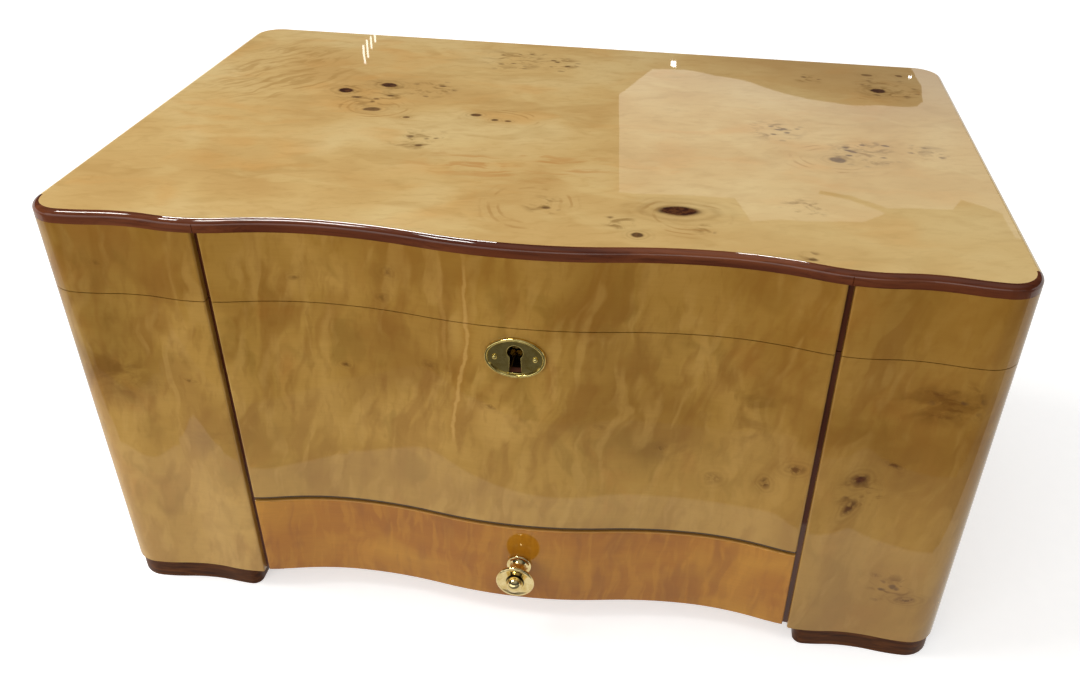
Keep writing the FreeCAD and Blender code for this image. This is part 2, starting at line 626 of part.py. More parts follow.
def back_foot():
    """Back right foot pad, under the rounded back corner."""
    x0 = POST_X + FOOT_END_SET_BACK
    y0 = BACK_Y - FOOT_DEPTH
    pad = board(x0, WIDTH, y0, BACK_Y + 1, 0, FOOT_HEIGHT, FOOT_SET_BACK)

    def free_corner(point):
        at_end = abs(point.x - x0) < 0.01 or abs(point.y - y0) < 0.01
        return abs(point.z - FOOT_HEIGHT / 2) < 0.01 and at_end

    return round_edges(pad, FOOT_ROUND, free_corner)


def drawer_housing(x, side):
    """Dovetailed tongue at the front end of a drawer side; side is +1 or -1."""
    inner = x - side * DRAWER_SIDE_THICK
    y0 = DRAWER_FRONT_BACK_Y - DRAWER_HOUSING
    flare = side * DRAWER_HOUSING_FLARE
    corners = [(x - 2 * flare, DRAWER_FRONT_BACK_Y), (x - flare, y0), (inner + flare, y0),
               (inner + 2 * flare, DRAWER_FRONT_BACK_Y)]
    outline = [Vector(px, py, DRAWER_BOX_FOOT) for px, py in corners]
    return Part.Face(Part.makePolygon(outline + outline[:1])).extrude(Vector(0, 0, DRAWER_SIDE_HEIGHT))


def drawer_bottom():
    """Thin bottom board let into grooves in the front, the sides and the back."""
    x = DRAWER_INNER_X + DRAWER_GROOVE
    y0 = DRAWER_FRONT_BACK_Y - DRAWER_GROOVE
    y1 = DRAWER_REAR_Y - DRAWER_BACK_THICK + DRAWER_GROOVE
    return box(-x, x, y0, y1, DRAWER_BOTTOM_Z, DRAWER_BOTTOM_TOP)


def drawer_side():
    """Right drawer side with its dovetailed tongue and the groove for the bottom."""
    wall = box(DRAWER_INNER_X, DRAWER_SIDE_X, DRAWER_FRONT_BACK_Y, DRAWER_REAR_Y,
               DRAWER_BOX_FOOT, DRAWER_BOX_TOP)
    whole = join([wall, drawer_housing(DRAWER_SIDE_X, 1)])
    return whole.cut(drawer_bottom())


def drawer_back():
    """Drawer back between the sides."""
    wall = box(-DRAWER_INNER_X, DRAWER_INNER_X, DRAWER_REAR_Y - DRAWER_BACK_THICK, DRAWER_REAR_Y,
               DRAWER_BOX_FOOT, DRAWER_BOX_TOP)
    return wall.cut(drawer_bottom())


def on_rim(point):
    """Whether a point lies on the outer edge of the drawer front, seen from the front."""
    at_end = abs(abs(point.x) - PANEL_X) < 0.01
    return at_end or abs(point.z - DRAWER_FOOT) < 0.01 or abs(point.z - DRAWER_TOP) < 0.01


def drawer_front():
    """Bowed drawer front with softened edges, housings for the sides and a hole for the knob screw."""
    front = board(-PANEL_X, PANEL_X, FRONT_Y - 1, DRAWER_FRONT_BACK_Y, DRAWER_FOOT, DRAWER_TOP)
    front = round_edges(front, DRAWER_EDGE_ROUND, lambda point: point.y < FRONT_Y + VALLEY_DEPTH + 0.01
                        and on_rim(point))
    tools = [drawer_housing(DRAWER_SIDE_X, 1), drawer_housing(-DRAWER_SIDE_X, -1), drawer_bottom()]
    tools.append(rod(KNOB_SCREW_RADIUS + SCREW_FIT, (0, FRONT_Y - 1, KNOB_Z), (0, 1, 0), FRONT_WALL + 2))
    return cut_all(front, tools)


def knob():
    """Turned knob: a rose, a waisted neck, and a dished cap with a ball in its middle."""
    rim = KNOB_CAP_AHEAD
    cap_back = rim - KNOB_CAP_THICK
    floor = rim - KNOB_DISH
    neck_mid = (KNOB_ROSE_THICK + cap_back) / 2
    ball_mid = rim + KNOB_BALL_AHEAD
    tip = ball_mid + KNOB_BALL_RADIUS
    seat_turn = math.acos((floor - ball_mid) / KNOB_BALL_RADIUS)
    ball_foot = (KNOB_BALL_RADIUS * math.sin(seat_turn), floor)
    ball_side = (KNOB_BALL_RADIUS * math.sin(seat_turn / 2),
                 ball_mid + KNOB_BALL_RADIUS * math.cos(seat_turn / 2))

    def at(radius, ahead):
        return Vector(radius, CROWN_Y - ahead, KNOB_Z)

    def line(start, end):
        return Part.LineSegment(at(*start), at(*end)).toShape()

    def arc(start, middle, end):
        return Part.Arc(at(*start), at(*middle), at(*end)).toShape()

    neck_start = KNOB_NECK_RADIUS + KNOB_NECK_FOOT
    neck_end = KNOB_NECK_RADIUS + KNOB_NECK_FLARE
    edge_back = rim - KNOB_CAP_THICK / 2
    soft = KNOB_CAP_ROUND
    edges = [line((0, 0), (KNOB_ROSE_RADIUS, 0)),
             line((KNOB_ROSE_RADIUS, 0), (KNOB_ROSE_RADIUS, KNOB_ROSE_EDGE)),
             line((KNOB_ROSE_RADIUS, KNOB_ROSE_EDGE), (KNOB_ROSE_SHOULDER_RADIUS, KNOB_ROSE_SHOULDER)),
             line((KNOB_ROSE_SHOULDER_RADIUS, KNOB_ROSE_SHOULDER), (neck_start, KNOB_ROSE_THICK)),
             arc((neck_start, KNOB_ROSE_THICK), (KNOB_NECK_RADIUS, neck_mid), (neck_end, cap_back)),
             line((neck_end, cap_back), (KNOB_CAP_RADIUS - soft, edge_back)),
             arc((KNOB_CAP_RADIUS - soft, edge_back), (KNOB_CAP_RADIUS, rim - soft),
                 (KNOB_CAP_RADIUS - soft, rim)),
             line((KNOB_CAP_RADIUS - soft, rim), ball_foot),
             arc(ball_foot, ball_side, (0, tip)),
             line((0, tip), (0, 0))]
    face = Part.Face(Part.Wire(edges))
    solid = face.revolve(Vector(0, 0, KNOB_Z), Vector(0, 1, 0), 360)
    depth = KNOB_SCREW_BITE + SCREW_FIT
    bore = rod(KNOB_SCREW_RADIUS + SCREW_FIT, (0, CROWN_Y, KNOB_Z), (0, -1, 0), depth)
    return solid.cut(bore)


def knob_screw():
    """Pan-headed machine screw from inside the drawer into the knob."""
    head = rod(KNOB_SCREW_HEAD_RADIUS, (0, DRAWER_FRONT_BACK_Y, KNOB_Z), (0, 1, 0), KNOB_SCREW_HEAD_THICK)
    end_y = DRAWER_FRONT_BACK_Y + KNOB_SCREW_HEAD_THICK
    head = taper_edges(head, KNOB_SCREW_HEAD_THICK / 2, lambda point: abs(point.y - end_y) < 0.01)
    length = DRAWER_FRONT_BACK_Y - CROWN_Y + KNOB_SCREW_BITE
    shank = rod(KNOB_SCREW_RADIUS, (0, DRAWER_FRONT_BACK_Y, KNOB_Z), (0, -1, 0), length)
    slot = box(-KNOB_SCREW_HEAD_RADIUS, KNOB_SCREW_HEAD_RADIUS, end_y - SCREW_SLOT_DEPTH, end_y + 1,
               KNOB_Z - SCREW_SLOT_WIDTH, KNOB_Z + SCREW_SLOT_WIDTH)
    return join([head, shank]).cut(slot)


def barrel(radius, x0, x1):
    """A round bar along the hinge axis."""
    return rod(radius, (x0, AXIS_Y, AXIS_Z), (1, 0, 0), x1 - x0)


def heel(x0, x1, inner, angle):
    """A stop: a slice of ring round the hinge axis, from an angle above the horizontal, behind it."""
    def at(radius, degrees):
        turn = math.radians(degrees)
        return Vector(x0, AXIS_Y + radius * math.cos(turn), AXIS_Z + radius * math.sin(turn))

    middle = angle + HEEL_SPREAD / 2
    end = angle + HEEL_SPREAD
    edges = [Part.Arc(at(HEEL_RADIUS, angle), at(HEEL_RADIUS, middle), at(HEEL_RADIUS, end)).toShape(),
             Part.LineSegment(at(HEEL_RADIUS, end), at(inner, end)).toShape(),
             Part.Arc(at(inner, end), at(inner, middle), at(inner, angle)).toShape(),
             Part.LineSegment(at(inner, angle), at(HEEL_RADIUS, angle)).toShape()]
    return Part.Face(Part.Wire(edges)).extrude(Vector(x1 - x0, 0, 0))


def hinge_screw_places(x, z):
    """Heads of the three screws of one leaf."""
    y = BACK_Y - HINGE_LEAF_WIDTH / 2
    return [(x + step, y, z) for step in (-HINGE_SCREW_STEP, 0, HINGE_SCREW_STEP)]


def hinge_case_leaf(x):
    """Lower leaf with the two outer knuckles and the stop bar that joins them behind."""
    x0 = x - HINGE_LENGTH / 2
    x1 = x + HINGE_LENGTH / 2
    m0 = x - KNUCKLE_MIDDLE / 2 - KNUCKLE_GAP
    m1 = x + KNUCKLE_MIDDLE / 2 + KNUCKLE_GAP
    leaf = box(x0, x1, LEAF_FRONT_Y, AXIS_Y, CASE_TOP - HINGE_LEAF_THICK, CASE_TOP)
    leaf = leaf.cut(barrel(KNUCKLE_RADIUS + KNUCKLE_GAP, m0, m1))
    whole = join([leaf, barrel(KNUCKLE_RADIUS, x0, m0), barrel(KNUCKLE_RADIUS, m1, x1)])
    outer = heel(x0, x1, KNUCKLE_RADIUS + KNUCKLE_GAP, HEEL_FOOT_ANGLE - HEEL_SPREAD)
    ends = [heel(x0, m0, HINGE_PIN_RADIUS, HEEL_FOOT_ANGLE - HEEL_SPREAD),
            heel(m1, x1, HINGE_PIN_RADIUS, HEEL_FOOT_ANGLE - HEEL_SPREAD)]
    whole = join([whole, outer] + ends)
    whole = whole.cut(barrel(HINGE_PIN_RADIUS + HINGE_PIN_FIT, x0 - 1, x1 + 1))
    return cut_all(whole, screws_at(hinge_screw_places(x, CASE_TOP), 1, SCREW_FIT))


def hinge_lid_leaf(x):
    """Upper leaf with the middle knuckle and its heel, which meets the stop bar when the lid is up."""
    x0 = x - HINGE_LENGTH / 2
    x1 = x + HINGE_LENGTH / 2
    m0 = x - KNUCKLE_MIDDLE / 2
    m1 = x + KNUCKLE_MIDDLE / 2
    leaf = box(x0, x1, LEAF_FRONT_Y, AXIS_Y, LID_FOOT, LID_FOOT + HINGE_LEAF_THICK)
    clear = KNUCKLE_RADIUS + KNUCKLE_GAP
    leaf = cut_all(leaf, [barrel(clear, x0, m0), barrel(clear, m1, x1)])
    stop = heel(m0, m1, HINGE_PIN_RADIUS, HEEL_FOOT_ANGLE + HEEL_CLEAR + LID_OPEN_ANGLE)
    whole = join([leaf, barrel(KNUCKLE_RADIUS, m0, m1), stop])
    whole = whole.cut(barrel(HINGE_PIN_RADIUS + HINGE_PIN_FIT, x0 - 1, x1 + 1))
    return cut_all(whole, screws_at(hinge_screw_places(x, LID_FOOT), -1, SCREW_FIT))


def hinge_seats(z0, z1, screw_z, up):
    """Recesses for both hinge leaves and their screws in the back boards."""
    tools = []
    for x in (-HINGE_X, HINGE_X):
        tools.append(box(x - HINGE_LENGTH / 2, x + HINGE_LENGTH / 2, LEAF_FRONT_Y, BACK_Y + 1, z0, z1))
        tools += screws_at(hinge_screw_places(x, screw_z), up, SCREW_FIT)
    return tools


def wall_linings(z0, z1):
    """Lining boards inside the four walls: front, back, right and left."""
    front = box(-INNER_X, INNER_X, INNER_FRONT_Y, INNER_FRONT_Y + LINING_THICK, z0, z1)
    back = box(-INNER_X, INNER_X, INNER_BACK_Y - LINING_THICK, INNER_BACK_Y, z0, z1)
    right = box(INNER_X - LINING_THICK, INNER_X, INNER_FRONT_Y + LINING_THICK,
                INNER_BACK_Y - LINING_THICK, z0, z1)
    return [front, back, right, mirrored(right)]


def well_linings():
    """Lining boards of the upper compartment: a floor pad and four walls."""
    z0 = FLOOR_TOP + LINING_THICK
    z1 = CASE_TOP - LINING_BELOW_SEAM
    front, back, right, left = wall_linings(z0, z1)
    return {"well_floor_pad": box(-INNER_X, INNER_X, INNER_FRONT_Y, INNER_BACK_Y, FLOOR_TOP, z0),
            "well_lining_front": front, "well_lining_back": back,
            "well_lining_right": right, "well_lining_left": left}


def lid_linings():
    """Lining of the lid: a pad under the top and four strips inside the rails."""
    z0 = LID_FOOT + LINING_BELOW_SEAM
    z1 = LID_CEILING - LINING_THICK
    return {"lid_lining_pad": box(-INNER_X, INNER_X, INNER_FRONT_Y, INNER_BACK_Y, z1, LID_CEILING),
            "lid_wall_linings": Part.makeCompound(wall_linings(z0, z1))}


def case_parts():
    """Everything that stays put."""
    post = front_post(FOOT_HEIGHT, CASE_TOP)
    strip = case_groove_strip()
    side = board(INNER_X, WIDTH, INNER_FRONT_Y, INNER_BACK_Y, FOOT_HEIGHT, CASE_TOP)
    back = board(-WIDTH, WIDTH, INNER_BACK_Y, BACK_Y + 1, FOOT_HEIGHT, CASE_TOP)
    back = cut_all(back, hinge_seats(CASE_TOP - HINGE_LEAF_THICK, CASE_TOP + 1, CASE_TOP, 1))
    guide = box(GUIDE_X, GUIDE_X + GUIDE_THICK, INNER_FRONT_Y, INNER_BACK_Y, BASE_TOP, FLOOR_FOOT)
    parts = {"right_front_post": post, "left_front_post": mirrored(post),
             "right_groove_strip": strip, "left_groove_strip": mirrored(strip),
             "right_side_panel": side, "left_side_panel": mirrored(side),
             "right_drawer_guide": guide, "left_drawer_guide": mirrored(guide),
             "front_right_foot": foot(), "front_left_foot": mirrored(foot()),
             "back_right_foot": back_foot(), "back_left_foot": mirrored(back_foot()),
             "front_panel": front_panel(), "back_panel": back}
    parts["base_panel"] = box(-INNER_X, INNER_X, INNER_FRONT_Y, INNER_BACK_Y, FOOT_HEIGHT, BASE_TOP)
    parts["well_floor"] = box(-INNER_X, INNER_X, INNER_FRONT_Y, INNER_BACK_Y, FLOOR_FOOT, FLOOR_TOP)
    parts.update(well_linings())
    parts.update(fixed_hardware())
    return parts


def fixed_hardware():
    """Lock, escutcheon and the case's half of the hinges."""
    leaves = []
    pins = []
    screws = []
    for x in (-HINGE_X, HINGE_X):
        leaves.append(hinge_case_leaf(x))
        pins.append(barrel(HINGE_PIN_RADIUS, x - HINGE_LENGTH / 2, x + HINGE_LENGTH / 2))
        screws += screws_at(hinge_screw_places(x, CASE_TOP), 1)
    return {"escutcheon": escutcheon(), "escutcheon_pins": escutcheon_pins(),
            "lock_case": lock_case(), "lock_cap": lock_cap(), "lock_key_pin": lock_key_pin(),
            "lock_screws": Part.makeCompound(screws_at(lock_screw_places(), 1)),
            "hinge_case_leaves": Part.makeCompound(leaves), "hinge_pins": Part.makeCompound(pins),
            "hinge_case_screws": Part.makeCompound(screws)}


def lid_parts():
    """Everything that lifts with the lid."""
    post = front_post(LID_FOOT, LIP_FOOT)
    strip = groove_strip(LID_FOOT, LIP_FOOT)
    side = board(INNER_X, WIDTH, INNER_FRONT_Y, INNER_BACK_Y, LID_FOOT, LIP_FOOT)
    back = board(-WIDTH, WIDTH, INNER_BACK_Y, BACK_Y + 1, LID_FOOT, LIP_FOOT)
    back = cut_all(back, hinge_seats(LID_FOOT - 1, LID_FOOT + HINGE_LEAF_THICK, LID_FOOT, -1))
    leaves = []
    screws = []
    for x in (-HINGE_X, HINGE_X):
        leaves.append(hinge_lid_leaf(x))
        screws += screws_at(hinge_screw_places(x, LID_FOOT), -1)
    parts = {"lid_top_panel": lid_top_panel(), "lid_front_rail": lid_front_rail(), "lid_back_rail": back,
             "lid_right_post": post, "lid_left_post": mirrored(post),
             "lid_right_rail": side, "lid_left_rail": mirrored(side),
             "lid_right_groove_strip": strip, "lid_left_groove_strip": mirrored(strip),
             "link_plate": link_plate(),
             "link_plate_screws": Part.makeCompound(screws_at(link_screw_places(), -1)),
             "hinge_lid_leaves": Part.makeCompound(leaves), "hinge_lid_screws": Part.makeCompound(screws)}
    for name, length in lid_edging().items():
        parts["lid_edging_" + name] = length
    parts.update(lid_linings())
    return parts


def drawer_parts():
    """Everything that slides with the drawer."""
    side = drawer_side()
    x = DRAWER_INNER_X - LINING_GAP
    felt = box(-x, x, DRAWER_FRONT_BACK_Y + LINING_GAP, DRAWER_REAR_Y - DRAWER_BACK_THICK - LINING_GAP,
               DRAWER_BOTTOM_TOP, DRAWER_BOTTOM_TOP + FELT_THICK)
    return {"drawer_front": drawer_front(), "drawer_right_side": side, "drawer_left_side": mirrored(side),
            "drawer_back": drawer_back(), "drawer_bottom": drawer_bottom(), "drawer_felt": felt,
            "drawer_knob": knob(), "knob_screw": knob_screw()}


def main():
    """Build every piece and write one file for each."""
    os.makedirs("parts", exist_ok=True)
    parts = {"lock_bolt": lock_bolt()}
    for group in (case_parts(), lid_parts(), drawer_parts()):
        parts.update(group)
    for name, shape in parts.items():
        shape.exportStep("parts/" + name + ".step")
    print(len(parts), "parts")


main()
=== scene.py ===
"""Keepsake box with a serpentine front: its finishes, soft linings, brass fittings and the studio round it."""
import math

import bmesh
import bpy
import numpy as np
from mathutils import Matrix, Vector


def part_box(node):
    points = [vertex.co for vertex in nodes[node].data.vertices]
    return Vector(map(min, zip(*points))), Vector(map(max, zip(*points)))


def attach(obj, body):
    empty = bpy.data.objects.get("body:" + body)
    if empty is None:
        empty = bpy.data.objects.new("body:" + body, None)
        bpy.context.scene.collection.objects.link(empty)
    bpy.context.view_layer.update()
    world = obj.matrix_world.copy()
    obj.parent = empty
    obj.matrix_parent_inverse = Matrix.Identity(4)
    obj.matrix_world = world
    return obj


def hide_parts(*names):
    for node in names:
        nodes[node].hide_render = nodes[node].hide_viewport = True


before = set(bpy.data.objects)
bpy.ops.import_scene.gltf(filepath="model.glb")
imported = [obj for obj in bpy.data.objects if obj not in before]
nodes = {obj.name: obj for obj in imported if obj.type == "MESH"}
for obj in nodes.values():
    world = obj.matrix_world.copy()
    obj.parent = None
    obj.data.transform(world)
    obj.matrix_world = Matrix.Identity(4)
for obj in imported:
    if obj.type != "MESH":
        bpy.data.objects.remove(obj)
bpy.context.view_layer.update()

MM = 0.001
# The knob's axis and its seat on the drawer front, in mm
KNOB_Z = 31.3
KNOB_SEAT_Y = -110.456


# ---------------------------------------------------------------- colour and node helpers

def paint(hex_colour):
    """Linear colour with full alpha from an sRGB hex value such as C9A66B."""
    srgb = np.array([int(hex_colour[i:i + 2], 16) for i in (0, 2, 4)]) / 255
    linear = np.where(srgb <= 0.04045, srgb / 12.92, ((srgb + 0.055) / 1.055) ** 2.4)
    return (*linear.tolist(), 1.0)


def add(tree, kind, settings=None, *values, **named):
    """Add a node with its settings and links.

    Values go to the node's live inputs in order, and named ones by name. Each is a number, a hex colour, a
    socket, or a node, which stands for its first live output. The setting stops is a ramp's (position, hex).
    """
    node = tree.nodes.new("ShaderNode" + kind)
    for name, value in (settings or {}).items():
        if name == "stops":
            while len(node.color_ramp.elements) < len(value):
                node.color_ramp.elements.new(0.5)
            for element, (position, hex_colour) in zip(node.color_ramp.elements, value):
                element.position, element.color = position, paint(hex_colour)
        else:
            setattr(node, name, value)
    live = [socket for socket in node.inputs if socket.enabled]
    for socket, value in (*zip(live, values), *((node.inputs[name.replace("_", " ")], value)
                                                for name, value in named.items())):
        if isinstance(value, bpy.types.Node):
            value = next(output for output in value.outputs if output.enabled)
        if isinstance(value, bpy.types.NodeSocket):
            tree.links.new(value, socket)
        else:
            socket.default_value = paint(value) if isinstance(value, str) else value
    return node


def new_material(name):
    """An empty material and its node tree."""
    material = bpy.data.materials.new(name)
    material.use_nodes = True
    material.node_tree.nodes.clear()
    return material, material.node_tree


# Settings that many nodes share
SMOOTH = {"interpolation_type": "SMOOTHSTEP"}
MIX = {"data_type": "RGBA"}
MIX_FLOAT = {"data_type": "FLOAT"}
ABSOLUTE, ADD, LENGTH, MAXIMUM, MINIMUM, MULTIPLY, MULTIPLY_ADD, SINE, SQRT, SUBTRACT = (
    {"operation": word} for word in ("ABSOLUTE", "ADD", "LENGTH", "MAXIMUM", "MINIMUM", "MULTIPLY", "MULTIPLY_ADD",
                                     "SINE", "SQRT", "SUBTRACT"))


# ---------------------------------------------------------------- patterns in millimetres

def placed(tree, centre=(0, 0, 0), turn=(0, 0, 0), stretch=(1, 1, 1), where=None):
    """Object coordinates in millimetres, moved to centre, turned (degrees) and stretched."""
    if where is None:
        where = add(tree, "Mapping", {"vector_type": "POINT"}, add(tree, "TexCoord").outputs["Object"],
                    Scale=(1000, 1000, 1000))
    return add(tree, "Mapping", {"vector_type": "TEXTURE"}, where, Location=centre,
               Rotation=tuple(math.radians(angle) for angle in turn), Scale=stretch)


def warped(tree, where, size, reach):
    """The same coordinates pushed about by up to reach mm by a noise of the given size, as burl grain swirls."""
    push = add(tree, "TexNoise", None, where, 1 / size, 2.0).outputs["Color"]
    moved = add(tree, "VectorMath", MULTIPLY_ADD, push, (2 * reach,) * 3, where)
    return add(tree, "VectorMath", SUBTRACT, moved, (reach,) * 3)


def flat_place(flat_axis, across, up):
    """A place on a board seen from above (z) or from the front (y)."""
    return (across, up, 0) if flat_axis == "z" else (across, 0, up)


def flat_scale(flat_axis, wide, tall):
    """Half sizes on a board, with no size through its thickness."""
    return (wide, tall, 1e6) if flat_axis == "z" else (wide, 1e6, tall)


def oval(tree, where, flat_axis, across, up, wide, tall, turn=0.0):
    """Distance from a place on a board, in half sizes of an oval: 1 on the oval's edge."""
    turned = (0, 0, turn) if flat_axis == "z" else (0, -turn, 0)
    return add(tree, "VectorMath", LENGTH,
               placed(tree, flat_place(flat_axis, across, up), turned, flat_scale(flat_axis, wide, tall), where))


def figured(tree, colour, figures):
    """Lay clouds or streaks of other colours over a colour, one after another.

    Each figure gives its coordinates, centre, turn and stretch, its size in mm, detail, roughness and
    distortion, the noise levels at which it starts and is full, its share when full, and its colour.
    """
    for where, centre, turn, stretch, size, detail, rough, bend, low, high, share, tint in figures:
        cloud = add(tree, "TexNoise", None, placed(tree, centre, turn, stretch, where), 1 / size, detail, rough,
                    Distortion=bend)
        colour = add(tree, "Mix", MIX, add(tree, "MapRange", SMOOTH, cloud, low, high, 0.0, share), colour, tint)
    return colour


# Eyes of the burl in the lid, as (x, y, length, width, turn in degrees, depth of colour)
LID_EYES = [(-105.0, 31.2, 8.0, 6.0, 0, 1.0), (-87.4, 41.8, 8.0, 5.6, 0, 0.95), (-85.9, 9.3, 8.0, 5.0, 12, 0.75),
            (-97.1, 23.0, 5.2, 2.2, 10, 0.8), (-68.4, 2.5, 3.4, 2.4, 0, 0.75), (-38.8, 10.6, 5.0, 3.8, 10, 0.85),
            (-29.4, 6.1, 3.4, 2.6, 0, 0.8), (-23.5, 6.0, 3.2, 2.4, 0, 0.8), (-61.0, -19.0, 3.4, 2.0, 0, 0.7),
            (144.9, 78.5, 7.6, 6.6, 0, 0.95), (118.1, -12.3, 7.0, 5.4, 0, 0.7), (124.0, -1.5, 6.0, 2.2, -25, 0.7),
            (139.6, 7.0, 3.6, 2.0, -10, 0.7), (55.2, -72.3, 16.5, 8.6, 2, 1.0), (41.7, -94.3, 4.8, 4.2, 0, 0.85),
            (142.0, 102.0, 5.0, 3.2, 0, 0.6), (158.0, 104.0, 4.0, 3.0, -20, 0.7), (95.0, 18.0, 4.2, 2.0, 0, 0.65)]
# Clusters of pips in the lid, as (x, y, radius)
LID_PIPS = [(-90.0, 30.0, 24.0), (-56.7, -21.4, 15.0), (-36.0, 92.0, 22.0), (-12.0, 88.0, 14.0), (-66.0, 40.0, 15.0),
            (93.3, 17.0, 16.0), (157.0, 3.0, 11.0), (130.0, -3.0, 18.0), (101.8, -61.5, 11.0), (34.2, -84.8, 8.0),
            (150.0, 82.0, 20.0), (102.2, -101.4, 6.0), (5.7, -75.7, 10.0), (64.0, -86.0, 6.0), (112.0, 90.0, 9.0)]
# Long swirls round the knots of the lid, as (x, y, half length, half width, turn)
LID_SWIRLS = [(60.5, -76.0, 21.5, 16.0, 0), (118.0, -11.0, 22.0, 16.0, 0), (144.9, 78.5, 22.0, 16.0, 0),
              (-86.0, 12.0, 17.0, 13.0, 0), (-28.0, 8.0, 20.0, 12.0, 0), (0.0, -76.0, 17.0, 22.0, 0)]
# Eyes and pips of the front boards, in the same order with z in place of y
FRONT_EYES = [
    (108.1, 96.2, 7.4, 4.4, 20, 0.6), (97.9, 86.3, 3.8, 5.0, 30, 0.68), (77.3, 84.2, 6.0, 7.0, -40, 0.32),
    (132.8, 95.0, 6.4, 5.4, 35, 0.85), (131.0, 80.6, 4.2, 9.0, -20, 0.72), (143.7, 103.3, 6.0, 2.2, -30, 0.6),
    (161.7, 34.4, 7.5, 3.4, 5, 0.75), (147.7, 45.4, 5.0, 2.4, 0, 0.3), (-83.0, 160.9, 3.6, 2.0, 0, 0.35),
    (-67.9, 123.1, 3.2, 2.2, -20, 0.5), (-33.3, 129.2, 5.6, 4.0, 0, 0.25), (-10.2, 113.9, 4.4, 2.0, -10, 0.35),
    (56.1, 97.3, 1.8, 1.8, 0, 0.5), (32.1, 107.4, 5.0, 3.0, 0, 0.2), (-47.2, 166.8, 5.0, 3.6, 0, 0.35),
    (-50.1, 155.9, 5.0, 3.6, 0, 0.3), (-130.1, 113.5, 5.0, 1.8, -10, 0.35), (-155.8, 163.7, 3.4, 2.0, 0, 0.35),
    (152.6, 137.7, 9.0, 2.4, 0, 0.4), (156.0, 128.0, 8.0, 2.0, 0, 0.35)]
FRONT_PIPS = [(134.0, 88.0, 12.0), (155.0, 38.5, 11.0), (160.0, 135.0, 12.0)]


def eyes(tree, where, places, flat_axis, soft=False):
    """Dark eyes with rings round them. For each eye the distance is that to its oval, in half sizes.

    Returns how dark the eye is at a point, and how strongly it is ringed.
    """
    dark = ringed = None
    for across, up, length, width, turn, depth in places:
        distance = oval(tree, where, flat_axis, across, up, length / 2, width / 2, turn)
        core = add(tree, "MapRange", SMOOTH, distance, 0.2 if soft else 0.72, 1.35 if soft else 1.12, depth, 0.0)
        halo = add(tree, "MapRange", SMOOTH, distance, 0.8, 3.4, 0.5 * depth, 0.0)
        waves = add(tree, "Math", SINE, add(tree, "Math", MULTIPLY, distance, 8.0))
        waves = add(tree, "Math", MULTIPLY, add(tree, "Math", MULTIPLY_ADD, waves, 0.35, 0.65), halo)
        dark = core if dark is None else add(tree, "Math", MAXIMUM, dark, core)
        ringed = waves if ringed is None else add(tree, "Math", MAXIMUM, ringed, waves)
    if soft:
        patchy = add(tree, "TexNoise", None, where, 1 / 2.6, 3.0, 0.6)
        dark = add(tree, "Math", MULTIPLY, dark, add(tree, "MapRange", SMOOTH, patchy, 0.40, 0.56, 0.25, 1.25))
    return dark, ringed


def swirls(tree, where, places, flat_axis):
    """Broken growth rings round a knot: waves of the distance from its oval, strongest near the oval itself."""
    ringed = None
    for across, up, wide, tall, turn in places:
        distance = oval(tree, where, flat_axis, across, up, wide, tall, turn)
        waves = add(tree, "Math", SINE, add(tree, "Math", MULTIPLY, distance, 30.0))
        waves = add(tree, "MapRange", SMOOTH, waves, 0.1, 1.0)
        near = add(tree, "Math", MULTIPLY, add(tree, "MapRange", SMOOTH, distance, 0.35, 0.75),
                   add(tree, "MapRange", SMOOTH, distance, 0.85, 1.25, 1.0, 0.0))
        here = add(tree, "Math", MULTIPLY, waves, near)
        ringed = here if ringed is None else add(tree, "Math", MAXIMUM, ringed, here)
    broken = add(tree, "MapRange", SMOOTH, add(tree, "TexNoise", None, where, 1 / 13.0, 2.0), 0.46, 0.62)
    return add(tree, "Math", MULTIPLY, ringed, broken)


def pip_clusters(tree, where, places, flat_axis):
    """Where the clusters of small pips lie: 1 in the middle of a cluster, 0 outside."""
    inside = None
    for across, up, radius in places:
        distance = oval(tree, where, flat_axis, across, up, 1, 1)
        here = add(tree, "MapRange", SMOOTH, distance, 0.45 * radius, radius, 1.0, 0.0)
        inside = here if inside is None else add(tree, "Math", MAXIMUM, inside, here)
    return inside


# ---------------------------------------------------------------- finishes

def lacquered(tree, colour, height):
    """Wood under thick polished lacquer: a matt coloured base under a clear coat that ripples a little.

    Wood and lacquer are alike in refraction, so only the lacquer's own surface mirrors.
    """
    grain = add(tree, "Bump", None, Strength=0.10, Distance=0.0002, Height=height)
    # Polished lacquer follows long hollows of 20 to 40 mm, a few hundredths of a millimetre deep
    long_wave = add(tree, "TexNoise", None, placed(tree), 1 / 34.0, 1.0)
    short_wave = add(tree, "TexNoise", None, placed(tree), 1 / 5.0, 1.0)
    wave = add(tree, "Math", MULTIPLY_ADD, short_wave, 0.03, long_wave)
    coat = add(tree, "Bump", None, Strength=0.30, Distance=0.00014, Height=wave)
    # Fine dust nibs and rubbing haze: the gloss varies by a few hundredths over 15 mm
    return add(tree, "BsdfPrincipled", None, Base_Color=colour,
               Roughness=add(tree, "MapRange", SMOOTH, height, 0.3, 0.7, 0.45, 0.57),
               Normal=grain, Specular_IOR_Level=0.0, Coat_Weight=1.0, Coat_Roughness=0.016, Coat_IOR=1.5,
               Coat_Normal=coat)


